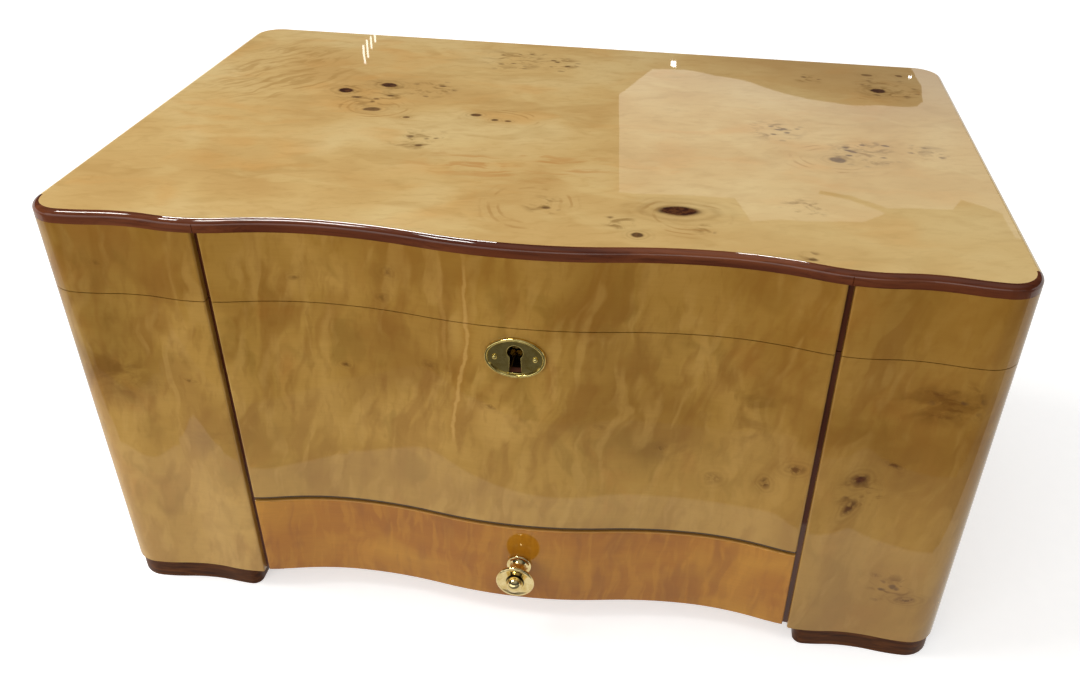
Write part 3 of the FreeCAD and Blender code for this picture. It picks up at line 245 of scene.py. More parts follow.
def pips_over(tree, colour, where, raw, eye_places, pip_places, swirl_places, flat_axis, deep, dark, hearts):
    """Lay the eyes, their rings, the pips and the smoky wood between them over the figure."""
    dark_eye, rings = eyes(tree, where, eye_places, flat_axis, flat_axis == "y")
    inside = pip_clusters(tree, where, pip_places, flat_axis)
    # A pip stands in rather more than half of all cells, which are 4.4 mm apart and drawn out along x
    squashed = placed(tree, (0, 0, 0), (0, 0, 0), (1.5, 1.0, 1.0), where)
    cells = add(tree, "TexVoronoi", {"feature": "F1"}, Vector=squashed, Scale=1 / 4.4, Randomness=1.0)
    chosen = add(tree, "MapRange", SMOOTH, add(tree, "SeparateColor", None, cells.outputs["Color"]), 0.40, 0.46)
    pip = add(tree, "MapRange", SMOOTH, cells.outputs["Distance"], 0.12, 0.33, 1.0, 0.0)
    pip = add(tree, "Math", MULTIPLY, add(tree, "Math", MULTIPLY, pip, chosen), inside)
    smoke = add(tree, "TexNoise", None, placed(tree, (20, 4, 9), (0, 0, 0), (1.8, 1, 1), where), 1 / 5.0, 3.0, 0.6,
                Distortion=0.8)
    smoke = add(tree, "MapRange", SMOOTH, smoke, 0.46, 0.68, 0.0, 0.62)
    colour = add(tree, "Mix", MIX, add(tree, "Math", MULTIPLY, smoke, inside), colour, dark)
    if swirl_places:
        ringed = swirls(tree, where, swirl_places, flat_axis)
        colour = add(tree, "Mix", MIX, add(tree, "Math", MULTIPLY, ringed, 0.42), colour, deep)
    colour = add(tree, "Mix", MIX, add(tree, "Math", MULTIPLY, rings, 0.75), colour, dark)
    colour = add(tree, "Mix", MIX, add(tree, "Math", MULTIPLY, pip, 0.75), colour, "5A3A1E")
    heart = add(tree, "ValToRGB", {"stops": [(0.42, hearts[0]), (0.60, hearts[1])]},
                add(tree, "TexNoise", None, raw, 1 / 2.2, 2.0))
    return add(tree, "Mix", MIX, dark_eye, colour, heart)


def lid_veneer():
    """Golden burl veneer of the lid, polished.

    Poplar burl under thick clear lacquer looks wet and deep: cloudy pale gold, orange wisps drawn out along
    the lid, a patch of slanting curl at the left, and dark purple-brown eyes in swarms of pips.
    Clouds are 40 to 70 mm across, wisps 8 to 25 mm, grain 1 mm and pips 1.5 mm.
    """
    material, tree = new_material("poplar_burl_lacquered_lid")
    raw = placed(tree)
    where = warped(tree, raw, 26.0, 7.0)
    near = warped(tree, raw, 8.0, 1.2)
    clouds = add(tree, "TexNoise", None, placed(tree, (40, 15, 0), where=where), 1 / 60.0, 2.0, Distortion=0.3)
    colour = add(tree, "ValToRGB", {"stops": [(0.32, "CFA665"), (0.50, "DAB574"), (0.68, "E3C487")]}, clouds)
    # Orange blush, brown wisps, pale wisps and fine mottle
    colour = figured(tree, colour, (
        (where, (330, 15, 0), (0, 0, 8), (1.8, 1, 1), 24.0, 2.0, 0.5, 0.6, 0.50, 0.74, 0.30, "DD9E4E"),
        (where, (90, 70, 0), (0, 0, 6), (2.6, 1, 1), 11.0, 2.0, 0.45, 0.9, 0.50, 0.72, 0.22, "B18845"),
        (where, (10, 170, 0), (0, 0, -10), (2.0, 1, 1), 16.0, 2.0, 0.5, 0.8, 0.52, 0.74, 0.22, "EDD292"),
        (near, (31, 5, 0), (0, 0, 12), (2.6, 1, 1), 3.6, 3.0, 0.62, 0.6, 0.46, 0.70, 0.20, "B98F4C")))
    # Curl: slanting ripples about 5 mm apart in the left part, and long orange streaks in front of the middle
    curl = add(tree, "TexNoise", None, placed(tree, (0, 0, 0), (0, 0, 52), (6, 1, 1), where), 1 / 3.6, 2.0,
               Distortion=0.5)
    curl = add(tree, "MapRange", SMOOTH, curl, 0.46, 0.66, 0.0, 0.48)
    left = add(tree, "MapRange", SMOOTH, oval(tree, where, "z", -140, 55, 44, 60), 0.4, 1.0, 1.0, 0.0)
    colour = add(tree, "Mix", MIX, add(tree, "Math", MULTIPLY, curl, left), colour, "AC813F")
    streak = add(tree, "TexNoise", None, placed(tree, (5, 50, 0), (0, 0, 5), (9, 1, 1), where), 1 / 4.2, 2.0,
                 Distortion=0.6)
    streak = add(tree, "MapRange", SMOOTH, streak, 0.46, 0.64, 0.0, 0.55)
    front = add(tree, "MapRange", SMOOTH, oval(tree, where, "z", -5, -42, 62, 20), 0.3, 1.0, 1.0, 0.0)
    colour = add(tree, "Mix", MIX, add(tree, "Math", MULTIPLY, streak, front), colour, "C2843E")
    fine = add(tree, "TexNoise", None, placed(tree, (3, 3, 0), (0, 0, 3), (7, 1, 1), where), 1 / 1.1, 3.0, 0.6,
               Distortion=0.6)
    colour = add(tree, "Mix", MIX, add(tree, "MapRange", SMOOTH, fine, 0.35, 0.75, 0.0, 0.06), colour, "957138")
    # Painted shade: the veneer is painted darker and browner towards the back right corner, where less light falls
    far = add(tree, "MapRange", SMOOTH, oval(tree, where, "z", 190, 130, 230, 130), 0.15, 1.0, 0.62, 0.0)
    colour = add(tree, "Mix", MIX, far, colour, "AC8958")
    # and a little brighter towards the front right
    bright = add(tree, "MapRange", SMOOTH, oval(tree, where, "z", 150, -70, 150, 80), 0.2, 1.0, 0.26, 0.0)
    colour = add(tree, "Mix", MIX, bright, colour, "EBD094")
    colour = pips_over(tree, colour, near, raw, LID_EYES, LID_PIPS, LID_SWIRLS, "z", "A87738", "8A662F",
                       ("3A1506", "5C3315"))
    add(tree, "OutputMaterial", None, lacquered(tree, colour, fine))
    return material


def wall_veneer():
    """Burl veneer of the case and lid walls, polished; one leaf runs on over posts, panel and lid rail.

    Olive gold with soft brown clouds 30 to 60 mm across, upright ripples 12 mm apart that lean to the right
    on the right half, a pale curled line left of the lock, and very fine level pore lines.
    """
    material, tree = new_material("poplar_burl_lacquered_walls")
    raw = placed(tree)
    where = warped(tree, raw, 30.0, 8.0)
    near = warped(tree, raw, 7.0, 1.6)
    clouds = add(tree, "TexNoise", None, placed(tree, (97, 200, 35), where=where), 1 / 46.0, 3.0, Distortion=0.4)
    colour = add(tree, "ValToRGB", {"stops": [(0.32, "976C2A"), (0.50, "B0863C"), (0.68, "C2974C")]}, clouds)
    # Orange blush, olive clouds, dark and bright upright ripples, and fine mottle
    colour = figured(tree, colour, (
        (where, (410, 80, 60), (0, 0, 0), (1, 1, 1.5), 26.0, 3.0, 0.55, 0.5, 0.53, 0.72, 0.42, "AA6B2C"),
        (where, (60, 10, 260), (0, 0, 0), (1, 1, 1.6), 19.0, 3.0, 0.6, 0.8, 0.52, 0.70, 0.45, "866424"),
        (where, (7, 0, 0), (0, 14, 0), (1, 1, 4.5), 10.0, 2.0, 0.5, 0.4, 0.48, 0.64, 0.50, "8F6023"),
        (where, (77, 0, 0), (0, 10, 0), (1, 1, 5.0), 8.0, 2.0, 0.5, 0.4, 0.52, 0.66, 0.40, "C89E54"),
        (near, (31, 5, 77), (0, 9, 0), (1, 1, 3.4), 3.6, 2.0, 0.58, 0.3, 0.47, 0.68, 0.24, "85591D")))
    # The pale curled line, dark at its sides: it stands at x -18 mm at the lid and wanders to -26 mm at its foot
    high = add(tree, "SeparateXYZ", None, near)
    line = add(tree, "MapRange", SMOOTH, high.outputs["Z"], 95.0, 148.0, -26.0, -18.0)
    off = add(tree, "Math", ABSOLUTE, add(tree, "Math", SUBTRACT, high.outputs["X"], line))
    span = add(tree, "Math", MULTIPLY, add(tree, "MapRange", SMOOTH, high.outputs["Z"], 92, 99),
               add(tree, "MapRange", SMOOTH, high.outputs["Z"], 168, 178, 1.0, 0.35))
    # A fainter one stands beside it in the lid, at x -27 mm
    second = add(tree, "Math", ABSOLUTE, add(tree, "Math", ADD, high.outputs["X"], 27.0))
    reach = add(tree, "Math", MULTIPLY, add(tree, "MapRange", SMOOTH, high.outputs["Z"], 128, 140),
                add(tree, "MapRange", SMOOTH, high.outputs["Z"], 172, 180, 1.0, 0.0))
    for away, inner, outer, share, length, tint in (
            (off, 0.9, 3.2, 0.30, span, "A3722E"), (off, 0.2, 1.0, 0.55, span, "D6A95F"),
            (second, 0.3, 1.4, 0.22, reach, "CFA158")):
        stroke = add(tree, "MapRange", SMOOTH, away, inner, outer, share, 0.0)
        colour = add(tree, "Mix", MIX, add(tree, "Math", MULTIPLY, stroke, length), colour, tint)
    fine = add(tree, "TexNoise", None, placed(tree, (3, 3, 9), (0, 0, 0), (12, 4, 1), raw), 1 / 0.9, 2.0, 0.6)
    colour = add(tree, "Mix", MIX, add(tree, "MapRange", SMOOTH, fine, 0.35, 0.75, 0.0, 0.08), colour, "76541F")
    # The keyhole is cut through the front board, and its inside is painted near black as painted shade; the plate
    # covers all round it
    spot = add(tree, "SeparateXYZ", None, raw)
    in_front = add(tree, "MapRange", SMOOTH, spot.outputs["Y"], -60.0, -50.0, 1.0, 0.0)
    hole = add(tree, "Math", MULTIPLY, in_front,
               add(tree, "MapRange", SMOOTH, oval(tree, raw, "y", 0, 137.3, 4.4, 7.4), 0.9, 1.0, 0.96, 0.0))
    # The left end of the case is darker and browner towards its top
    place = add(tree, "SeparateXYZ", None, where)
    aside = add(tree, "Math", MULTIPLY, add(tree, "MapRange", SMOOTH, place.outputs["X"], -180.0, -112.0, 0.34, 0.0),
                add(tree, "MapRange", SMOOTH, place.outputs["Z"], 92.0, 124.0))
    colour = add(tree, "Mix", MIX, aside, colour, "6F4F18")
    # Smoky patches, as (x, z, half length, half width, share)
    smoky = add(tree, "TexNoise", None, placed(tree, (5, 66, 9), (0, -20, 0), (2.0, 1, 1), near), 1 / 9.0, 3.0, 0.6,
                Distortion=0.8)
    smoky = add(tree, "MapRange", SMOOTH, smoky, 0.36, 0.58)
    for across, up, wide, tall, share in ((156, 132, 26, 12, 0.65), (-160, 112, 22, 20, 0.5), (-128, 84, 16, 10, 0.4),
                                          (60, 96, 20, 9, 0.4), (90, 118, 10, 26, 0.35), (150, 95, 9, 22, 0.4)):
        patch = add(tree, "MapRange", SMOOTH, oval(tree, near, "y", across, up, wide, tall), 0.2, 1.0, share, 0.0)
        colour = add(tree, "Mix", MIX, add(tree, "Math", MULTIPLY, patch, smoky), colour, "69400D")
    # The colour turns browner to the right, is painted paler towards the foot of the case as painted light, and turns
    # warmer and darker in the lid
    for axis, low, high, start, end, tint in (("X", 20.0, 150.0, 0.0, 0.42, "85591B"),
                                              ("Z", 70.0, 125.0, 0.26, 0.0, "CFA55A"),
                                              ("Z", 138.0, 180.0, 0.0, 0.38, "91641C")):
        shade = add(tree, "MapRange", SMOOTH, place.outputs[axis], low, high, start, end)
        colour = add(tree, "Mix", MIX, shade, colour, tint)
    colour = pips_over(tree, colour, near, raw, FRONT_EYES, FRONT_PIPS, None, "y", "855821", "663E0A",
                       ("4A2000", "5C2F04"))
    # Painted shade: the inside of the keyhole is painted near black
    colour = add(tree, "Mix", MIX, hole, colour, "140D08")
    # The first 3 mm of the keyhole's foot are bare red-brown wood
    cut = add(tree, "Math", MULTIPLY, add(tree, "MapRange", SMOOTH, spot.outputs["Z"], 131.6, 132.6, 1.0, 0.0),
              add(tree, "MapRange", SMOOTH, spot.outputs["Y"], -107.6, -106.8, 1.0, 0.0))
    colour = add(tree, "Mix", MIX, add(tree, "Math", MULTIPLY, hole, cut), colour, "8A5440")
    # The panel's raw lower edge over the drawer, at z 53.5 mm between the grooves, is painted dark: partly its stain,
    # partly painted shade in the gap above the drawer
    middle = add(tree, "MapRange", SMOOTH, add(tree, "Math", ABSOLUTE, spot.outputs["X"]), 114.6, 115.4, 0.92, 0.0)
    edge_stain_and_gap_shade = add(tree, "Math", MULTIPLY, add(tree, "Math", MULTIPLY, in_front, middle),
                add(tree, "MapRange", SMOOTH, spot.outputs["Z"], 53.9, 54.4, 1.0, 0.0))
    colour = add(tree, "Mix", MIX, edge_stain_and_gap_shade, colour, "1C0702")
    add(tree, "OutputMaterial", None, lacquered(tree, colour, fine))
    return material


def drawer_veneer():
    """Curly veneer of the drawer front, polished: orange brown with fine upright curl 3 to 5 mm apart."""
    material, tree = new_material("curly_poplar_lacquered_drawer")
    raw = placed(tree)
    where = warped(tree, raw, 22.0, 4.0)
    clouds = add(tree, "TexNoise", None, placed(tree, (310, 20, 160), (0, 0, 0), (1.6, 1, 1), where), 1 / 40.0, 3.0,
                 Distortion=0.4)
    colour = add(tree, "ValToRGB", {"stops": [(0.32, "9D5D13"), (0.52, "B07018"), (0.70, "C18625")]}, clouds)
    # Bright and dusky upright curl
    colour = figured(tree, colour, (
        (where, (1, 2, 3), (0, 6, 0), (1, 1, 7), 3.8, 2.0, 0.55, 0.5, 0.47, 0.64, 0.36, "CA8C29"),
        (where, (61, 2, 3), (0, 4, 0), (1, 1, 5), 7.0, 2.0, 0.5, 0.4, 0.50, 0.68, 0.40, "8F5517")))
    # Painted highlight: the top edge, at z 51.7 mm, is painted pale
    height = add(tree, "SeparateXYZ", None, raw).outputs["Z"]
    colour = add(tree, "Mix", MIX, add(tree, "MapRange", SMOOTH, height, 51.1, 51.6, 0.0, 0.45), colour, "D9A55C")
    fine = add(tree, "TexNoise", None, placed(tree, (3, 3, 9), (0, 0, 0), (10, 4, 1), raw), 1 / 0.9, 2.0, 0.6)
    colour = add(tree, "Mix", MIX, add(tree, "MapRange", SMOOTH, fine, 0.35, 0.75, 0.0, 0.08), colour, "713F0F")
    add(tree, "OutputMaterial", None, lacquered(tree, colour, fine))
    return material


def mahogany(name, along):
    """Dark red mahogany edging, stained and lacquered: straight grain and pores run along its length."""
    material, tree = new_material(name)
    stretch = {"x": (24, 1, 1), "z": (1, 1, 24)}[along]
    grain = add(tree, "TexNoise", None, placed(tree, (7, 3, 5), (0, 0, 0), stretch), 1 / 1.3, 4.0, 0.6,
                Distortion=0.4)
    broad = add(tree, "TexNoise", None, placed(tree, (2, 9, 4), (0, 0, 0), stretch), 1 / 6.0, 2.0)
    colour = add(tree, "ValToRGB", {"stops": [(0.30, "4C200F"), (0.55, "64321A"), (0.80, "7C4528")]}, broad)
    colour = add(tree, "Mix", MIX, add(tree, "MapRange", SMOOTH, grain, 0.48, 0.68, 0.0, 0.42), colour, "381509")
    add(tree, "OutputMaterial", None, lacquered(tree, colour, grain))
    return material


def stained_foot():
    """Dark brown stained hardwood of the feet, satin: open grain that catches a little light at the arrises."""
    material, tree = new_material("stained_hardwood_satin")
    grain = add(tree, "TexNoise", None, placed(tree, (1, 2, 3), (0, 0, 0), (14, 1, 1)), 1 / 1.8, 4.0, 0.6,
                Distortion=0.5)
    colour = add(tree, "ValToRGB", {"stops": [(0.30, "34190A"), (0.55, "573015"), (0.80, "704524")]}, grain)
    bump = add(tree, "Bump", None, Strength=0.3, Distance=0.0003, Height=grain)
    shader = add(tree, "BsdfPrincipled", None, Base_Color=colour,
                 Roughness=add(tree, "MapRange", SMOOTH, grain, 0.3, 0.8, 0.36, 0.5), Normal=bump,
                 Specular_IOR_Level=0.12)
    add(tree, "OutputMaterial", None, shader)
    return material


def plain_board(name, along, pale="C9A982", deep="A9825A"):
    """Plain light hardwood inside the box, planed and thinly sealed: straight grain with soft figure."""
    material, tree = new_material(name)
    stretch = {"x": (30, 1, 1), "y": (1, 30, 1)}[along]
    grain = add(tree, "TexNoise", None, placed(tree, (4, 4, 4), (0, 0, 0), stretch), 1 / 2.2, 4.0, 0.6,
                Distortion=0.7)
    broad = add(tree, "TexNoise", None, placed(tree, (8, 1, 6), (0, 0, 0), stretch), 1 / 14.0, 2.0, Distortion=0.6)
    colour = add(tree, "ValToRGB", {"stops": [(0.25, deep), (0.75, pale)]}, broad)
    colour = add(tree, "Mix", MIX, add(tree, "MapRange", SMOOTH, grain, 0.45, 0.70, 0.0, 0.35), colour, deep)
    bump = add(tree, "Bump", None, Strength=0.25, Distance=0.0003, Height=grain)
    shader = add(tree, "BsdfPrincipled", None, Base_Color=colour,
                 Roughness=add(tree, "MapRange", SMOOTH, grain, 0.2, 0.8, 0.42, 0.55), Normal=bump)
    add(tree, "OutputMaterial", None, shader)
    return material


def brass(name, pale="E3C378", deep="C79E4E", rough=(0.10, 0.18), turned=None):
    """Polished and lacquered brass: warm, mirror-like, with faint rubbing marks.

    turned is the (x, z) axis of a lathe-turned piece, whose fine rings are about 0.25 mm apart.
    """
    material, tree = new_material(name)
    where = placed(tree)
    tarnish = add(tree, "TexNoise", None, where, 1 / 3.0, 3.0, 0.6, Distortion=0.3)
    colour = add(tree, "ValToRGB", {"stops": [(0.30, deep), (0.62, pale)]}, tarnish)
    height = add(tree, "TexNoise", None, placed(tree, (0, 0, 0), (0, 20, 0), (6, 1, 1)), 1 / 0.5, 2.0)
    if turned:
        radius = oval(tree, where, "y", turned[0], turned[1], 1, 1)
        # The groove round the ball, 3.5 mm from the axis and 10.4 mm out from the seat, is painted near black
        off = add(tree, "Math", SUBTRACT, radius, 3.45)
        out = add(tree, "Math", ADD, add(tree, "SeparateXYZ", None, where).outputs["Y"], 120.85)
        groove = add(tree, "Math", MULTIPLY_ADD, off, off, add(tree, "Math", MULTIPLY, out, out))
        groove = add(tree, "Math", SQRT, groove)
        colour = add(tree, "Mix", MIX, add(tree, "MapRange", SMOOTH, groove, 0.15, 0.75, 0.92, 0.0), colour, "1E1206")
        rings = add(tree, "Math", SINE, add(tree, "Math", MULTIPLY, radius, 2 * math.pi / 0.25))
        height = add(tree, "Math", MULTIPLY_ADD, rings, 0.15, height)
    bump = add(tree, "Bump", None, Strength=0.06, Distance=0.00004, Height=height)
    shader = add(tree, "BsdfPrincipled", None, Base_Color=colour, Metallic=1.0,
                 Roughness=add(tree, "MapRange", SMOOTH, tarnish, 0.3, 0.7, rough[1], rough[0]), Normal=bump)
    add(tree, "OutputMaterial", None, shader)
    return material


def zinc_steel():
    """Zinc-plated steel screw: grey, soft sheen, faint blotches."""
    material, tree = new_material("steel_zinc_plated")
    blotch = add(tree, "TexNoise", None, placed(tree), 1 / 1.2, 3.0)
    colour = add(tree, "ValToRGB", {"stops": [(0.3, "9A9A96"), (0.7, "C4C4BE")]}, blotch)
    shader = add(tree, "BsdfPrincipled", None, Base_Color=colour, Metallic=1.0,
                 Roughness=add(tree, "MapRange", SMOOTH, blotch, 0.3, 0.7, 0.24, 0.38))
    add(tree, "OutputMaterial", None, shader)
    return material


def flocked(name, pale="C7AB8E", deep="A88A6C"):
    """Short flocked suede on card: matt, with brushed light and dark patches and a soft sheen."""
    material, tree = new_material(name)
    where = placed(tree)
    brushed = add(tree, "TexNoise", None, where, 1 / 34.0, 3.0, 0.55, Distortion=0.4)
    # The flock is about 0.3 mm; it is drawn at 0.7 mm so that it shows in the render
    flock = add(tree, "TexNoise", None, where, 1 / 0.7, 2.0, 0.7)
    colour = add(tree, "ValToRGB", {"stops": [(0.22, deep), (0.78, pale)]}, brushed)
    colour = add(tree, "Mix", MIX, add(tree, "MapRange", SMOOTH, flock, 0.35, 0.65, 0.0, 0.25), colour, deep)
    bump = add(tree, "Bump", None, Strength=0.5, Distance=0.0003, Height=flock)
    shader = add(tree, "BsdfPrincipled", None, Base_Color=colour, Roughness=0.95, Normal=bump,
                 Specular_IOR_Level=0.15, Sheen_Weight=0.35, Sheen_Roughness=0.45)
    add(tree, "OutputMaterial", None, shader)
    return material


lid_wood = lid_veneer()
wall_wood = wall_veneer()
drawer_wood = drawer_veneer()
edging_wood = mahogany("mahogany_edging_lacquered", "x")
groove_wood = mahogany("mahogany_strip_lacquered", "z")
foot_wood = stained_foot()
board_across = plain_board("sycamore_sealed", "x")
board_along = plain_board("sycamore_sealed_sides", "y")
knob_brass = brass("brass_turned_polished", "EFDDA6", "D9BE7C", (0.05, 0.10), (0, KNOB_Z))
plate_brass = brass("brass_plate_lacquered", "E4D186", "C6AE60", (0.10, 0.18))
lock_brass = brass("brass_sheet_rolled", "D2B468", "A98845", (0.20, 0.32))
steel = zinc_steel()
suede = flocked("suede_flock_on_card")
felt = flocked("felt_wool_laid", "BFA386", "9F8366")


def finish(material, *names):
    """Give a finish to carried-over pieces."""
    for name in names:
        mesh = nodes[name].data
        mesh.materials.clear()
        mesh.materials.append(material)


finish(lid_wood, "lid_top_panel", "lid_edging_left", "lid_edging_right", "lid_edging_back")
finish(wall_wood, "front_panel", "left_front_post", "right_front_post", "left_side_panel", "right_side_panel",
       "back_panel", "lid_front_rail", "lid_back_rail", "lid_left_post", "lid_right_post", "lid_left_rail",
       "lid_right_rail")
finish(drawer_wood, "drawer_front")
finish(edging_wood, "lid_edging_front")
finish(groove_wood, "left_groove_strip", "right_groove_strip", "lid_left_groove_strip", "lid_right_groove_strip")
finish(foot_wood, "front_left_foot", "front_right_foot", "back_left_foot", "back_right_foot")
finish(board_across, "base_panel", "well_floor", "drawer_back", "drawer_bottom")
finish(board_along, "left_drawer_guide", "right_drawer_guide", "drawer_left_side", "drawer_right_side")
finish(plate_brass, "escutcheon_pins")
finish(lock_brass, "lock_case", "lock_cap", "lock_key_pin", "lock_screws", "lock_bolt", "link_plate",
       "link_plate_screws", "hinge_case_leaves", "hinge_pins", "hinge_case_screws", "hinge_lid_leaves",
       "hinge_lid_screws")
finish(steel, "knob_screw")


# ---------------------------------------------------------------- new pieces

def piece(name, shells, material, body, replaced, sharp=40.0):
    """Make one object from closed shells of points in millimetres.

    A shell is an array of points on a grid, rows by columns, with whether its rows and its columns close on
    themselves. Equal points are merged, which closes seams and poles, and the faces are turned outwards.
    """
    points, faces, count = [], [], 0
    for grid, rows_close, columns_close in shells:
        rows, columns = grid.shape[:2]
        number = np.arange(rows * columns).reshape(rows, columns) + count
        down = np.roll(number, -1, axis=0) if rows_close else number[1:]
        here = number if rows_close else number[:-1]
        if columns_close:
            corners = (here, np.roll(here, -1, axis=1), np.roll(down, -1, axis=1), down)
        else:
            corners = (here[:, :-1], here[:, 1:], down[:, 1:], down[:, :-1])
        faces.append(np.stack(corners, axis=-1).reshape(-1, 4))
        points.append(grid.reshape(-1, 3) * MM)
        count += rows * columns
    mesh = bpy.data.meshes.new(name)
    mesh.from_pydata(np.concatenate(points).tolist(), [], np.concatenate(faces).tolist())
    shape = bmesh.new()
    shape.from_mesh(mesh)
    bmesh.ops.remove_doubles(shape, verts=shape.verts, dist=2e-6)
    bmesh.ops.dissolve_degenerate(shape, edges=shape.edges, dist=1e-7)
    bmesh.ops.recalc_face_normals(shape, faces=shape.faces)
    shape.to_mesh(mesh)
    shape.free()
    mesh.polygons.foreach_set("use_smooth", np.ones(len(mesh.polygons), dtype=bool))
    mesh.set_sharp_from_angle(angle=math.radians(sharp))
    mesh.materials.append(material)
    made = bpy.data.objects.new(name, mesh)
    bpy.context.collection.objects.link(made)
    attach(made, body)
    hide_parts(*replaced)
    return made


def lining(corner, across, up, out, round_mm=1.4, crown=0.22, rows=60, columns=60):
    """A card pad covered in flock, flat at its back and crowned in front.

    corner, across, up and out span the pad's box. With u and v from 0 to 1 across the box, and d the distance
    in mm to the nearer edge, the front stands out by a quarter round of d, times one less a small crown that
    falls off with the fourth power from the middle. Between its corners the outline pulls in a little.
    """
    corner, across, up, out = (np.array(v, dtype=float) for v in (corner, across, up, out))
    wide, tall = np.linalg.norm(across), np.linalg.norm(up)

    def steps(size, count):
        edge = round_mm * np.sin(np.linspace(0, math.pi / 2, 7)) ** 2
        inner = np.linspace(edge[-1], size - edge[-1], count)[1:-1]
        return np.concatenate([edge, inner, size - edge[::-1]]) / size

    u, v = np.meshgrid(steps(wide, columns), steps(tall, rows))
    rise = np.ones_like(u)
    for part, size in ((u, wide), (v, tall)):
        to_edge = np.clip(np.minimum(part, 1 - part) * size / round_mm, 0, 1)
        rise = rise * np.sqrt(1 - (1 - to_edge) ** 2)
    rise = rise * (1 - crown + crown * (1 - (2 * u - 1) ** 4) * (1 - (2 * v - 1) ** 4))
    pull_u = u + (0.5 - u) * 2 * 0.35 / wide * np.sin(math.pi * v)
    pull_v = v + (0.5 - v) * 2 * 0.35 / tall * np.sin(math.pi * u)
    face = corner + pull_u[..., None] * across + pull_v[..., None] * up
    front, back = face + rise[..., None] * out, face
    return [(front, False, False), (back, False, False)]


def box_of(name):
    """A node's lowest and highest corners in millimetres."""
    low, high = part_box(name)
    return np.array(low) / MM, np.array(high) / MM


def lining_in(low, high, toward):
    """A lining that fills a box, its crowned side towards a direction such as +z or -x."""
    axis, sign = "xyz".index(toward[1]), 1 if toward[0] == "+" else -1
    first, second = [i for i in range(3) if i != axis]
    corner = np.array(low, dtype=float)
    across, up, out = np.zeros(3), np.zeros(3), np.zeros(3)
    across[first], up[second] = high[first] - low[first], high[second] - low[second]
    out[axis] = sign * (high[axis] - low[axis])
    if sign < 0:
        corner[axis] = high[axis]
    return lining(corner, across, up, out)


for name, toward in (("well_floor_pad", "+z"), ("well_lining_front", "+y"), ("well_lining_back", "-y"),
                     ("well_lining_left", "+x"), ("well_lining_right", "-x")):
    piece(name + "_flocked", lining_in(*box_of(name), toward), suede, "case", [name])
piece("lid_lining_pad_flocked", lining_in(*box_of("lid_lining_pad"), "-z"), suede, "lid",
                ["lid_lining_pad"])

# The lid's wall linings are one node of four cards, 2 mm thick, round the lid's hollow
low, high = box_of("lid_wall_linings")
lid_cards = []
for a, b, toward in ((low, (high[0], low[1] + 2, high[2]), "+y"), ((low[0], high[1] - 2, low[2]), high, "-y"),
                     ((low[0], low[1] + 2, low[2]), (low[0] + 2, high[1] - 2, high[2]), "+x"),
                     ((high[0] - 2, low[1] + 2, low[2]), (high[0], high[1] - 2, high[2]), "-x")):
    lid_cards += lining_in(np.array(a), np.array(b), toward)
piece("lid_wall_linings_flocked", lid_cards, suede, "lid", ["lid_wall_linings"])


def felt_sheet():
    """The loose felt in the drawer, cut a touch small and laid in.

    Its underside is flat. Its top lies at the felt's thickness, less a hollow of up to 0.4 mm given by three
    slow sine waves across and along it, and falls in a quarter round over the last 0.8 mm to its cut edge.
    """
    low, high = box_of("drawer_felt")
    wide, long_way, thick = high - low
    edge = 0.8 * np.sin(np.linspace(0, math.pi / 2, 6)) ** 2
    steps = [np.concatenate([edge, np.linspace(0.8, size - 0.8, 80)[1:-1], size - edge[::-1]])
             for size in (wide, long_way)]
    x, y = np.meshgrid(*steps)
    slow = (np.sin(x / 31 + 0.4) * np.sin(y / 43) + 0.6 * np.sin(x / 67 - y / 37) + 0.4 * np.sin(y / 19 + x / 90)) / 2
    top = thick * np.ones_like(x) - 0.2 + 0.2 * slow
    for part, size in ((x, wide), (y, long_way)):
        top = top * np.sqrt(1 - (1 - np.clip(np.minimum(part, size - part) / 0.8, 0, 1)) ** 2)
    base = low + np.stack([x, y, np.zeros_like(x)], axis=-1)
    return [(base + np.stack([0 * x, 0 * x, top], axis=-1), False, False), (base, False, False)], wide, long_way


felt_shells, felt_wide, felt_long = felt_sheet()
felt_piece = piece("drawer_felt_laid", felt_shells, felt, "drawer", ["drawer_felt"])


def turned_knob():
    """The drawer knob, a profile of (radius, distance ahead) turned about an axis through the drawer front.

    From the seat outwards: a rounded rose, a waisted neck that flares by a power of the way from its waist,
    the cap's rolled rim (a half circle), a face dished by a power of the radius, and a ball.
    """
    arc = lambda centre, radius, start, end, count=14: np.stack(
        [centre[0] + radius * np.cos(np.radians(np.linspace(start, end, count))),
         centre[1] + radius * np.sin(np.radians(np.linspace(start, end, count)))], axis=-1)
    # The neck is 3.1 mm in radius at its waist and flares by 1 mm to the rose's top and the cap's underside
    foot, under = 1.4, 9.2
    neck_height = np.linspace(foot, under, 22)
    middle, half = (foot + under) / 2, (under - foot) / 2
    neck = np.stack([3.1 + np.abs((neck_height - middle) / half) ** 3.2, neck_height], axis=-1)
    dish_r = np.linspace(7.0, 3.35, 16)
    dish = np.stack([dish_r, 10.25 + 0.75 * ((dish_r - 3.3) / 3.9) ** 2.2], axis=-1)
    profile = np.concatenate([
        [[0.0, 0.0], [5.0, 0.0]],
        arc((4.65, 0.7), 0.7, -70, 75),
        neck,
        arc((7.25, 10.1), 0.9, -100, 105, 22),
        dish,
        arc((0.0, 11.7), 3.5, -20, 90, 30)])
    profile[-1, 0] = 0.0
    turn = np.linspace(0, 2 * math.pi, 128, endpoint=False)
    r, ahead = profile[:, 0][:, None], profile[:, 1][:, None]
    grid = np.stack([r * np.cos(turn), KNOB_SEAT_Y - ahead + 0 * turn, KNOB_Z + r * np.sin(turn)], axis=-1)
    return [(grid, False, True)]


piece("drawer_knob_turned", turned_knob(), knob_brass, "drawer", ["drawer_knob"], 50.0)


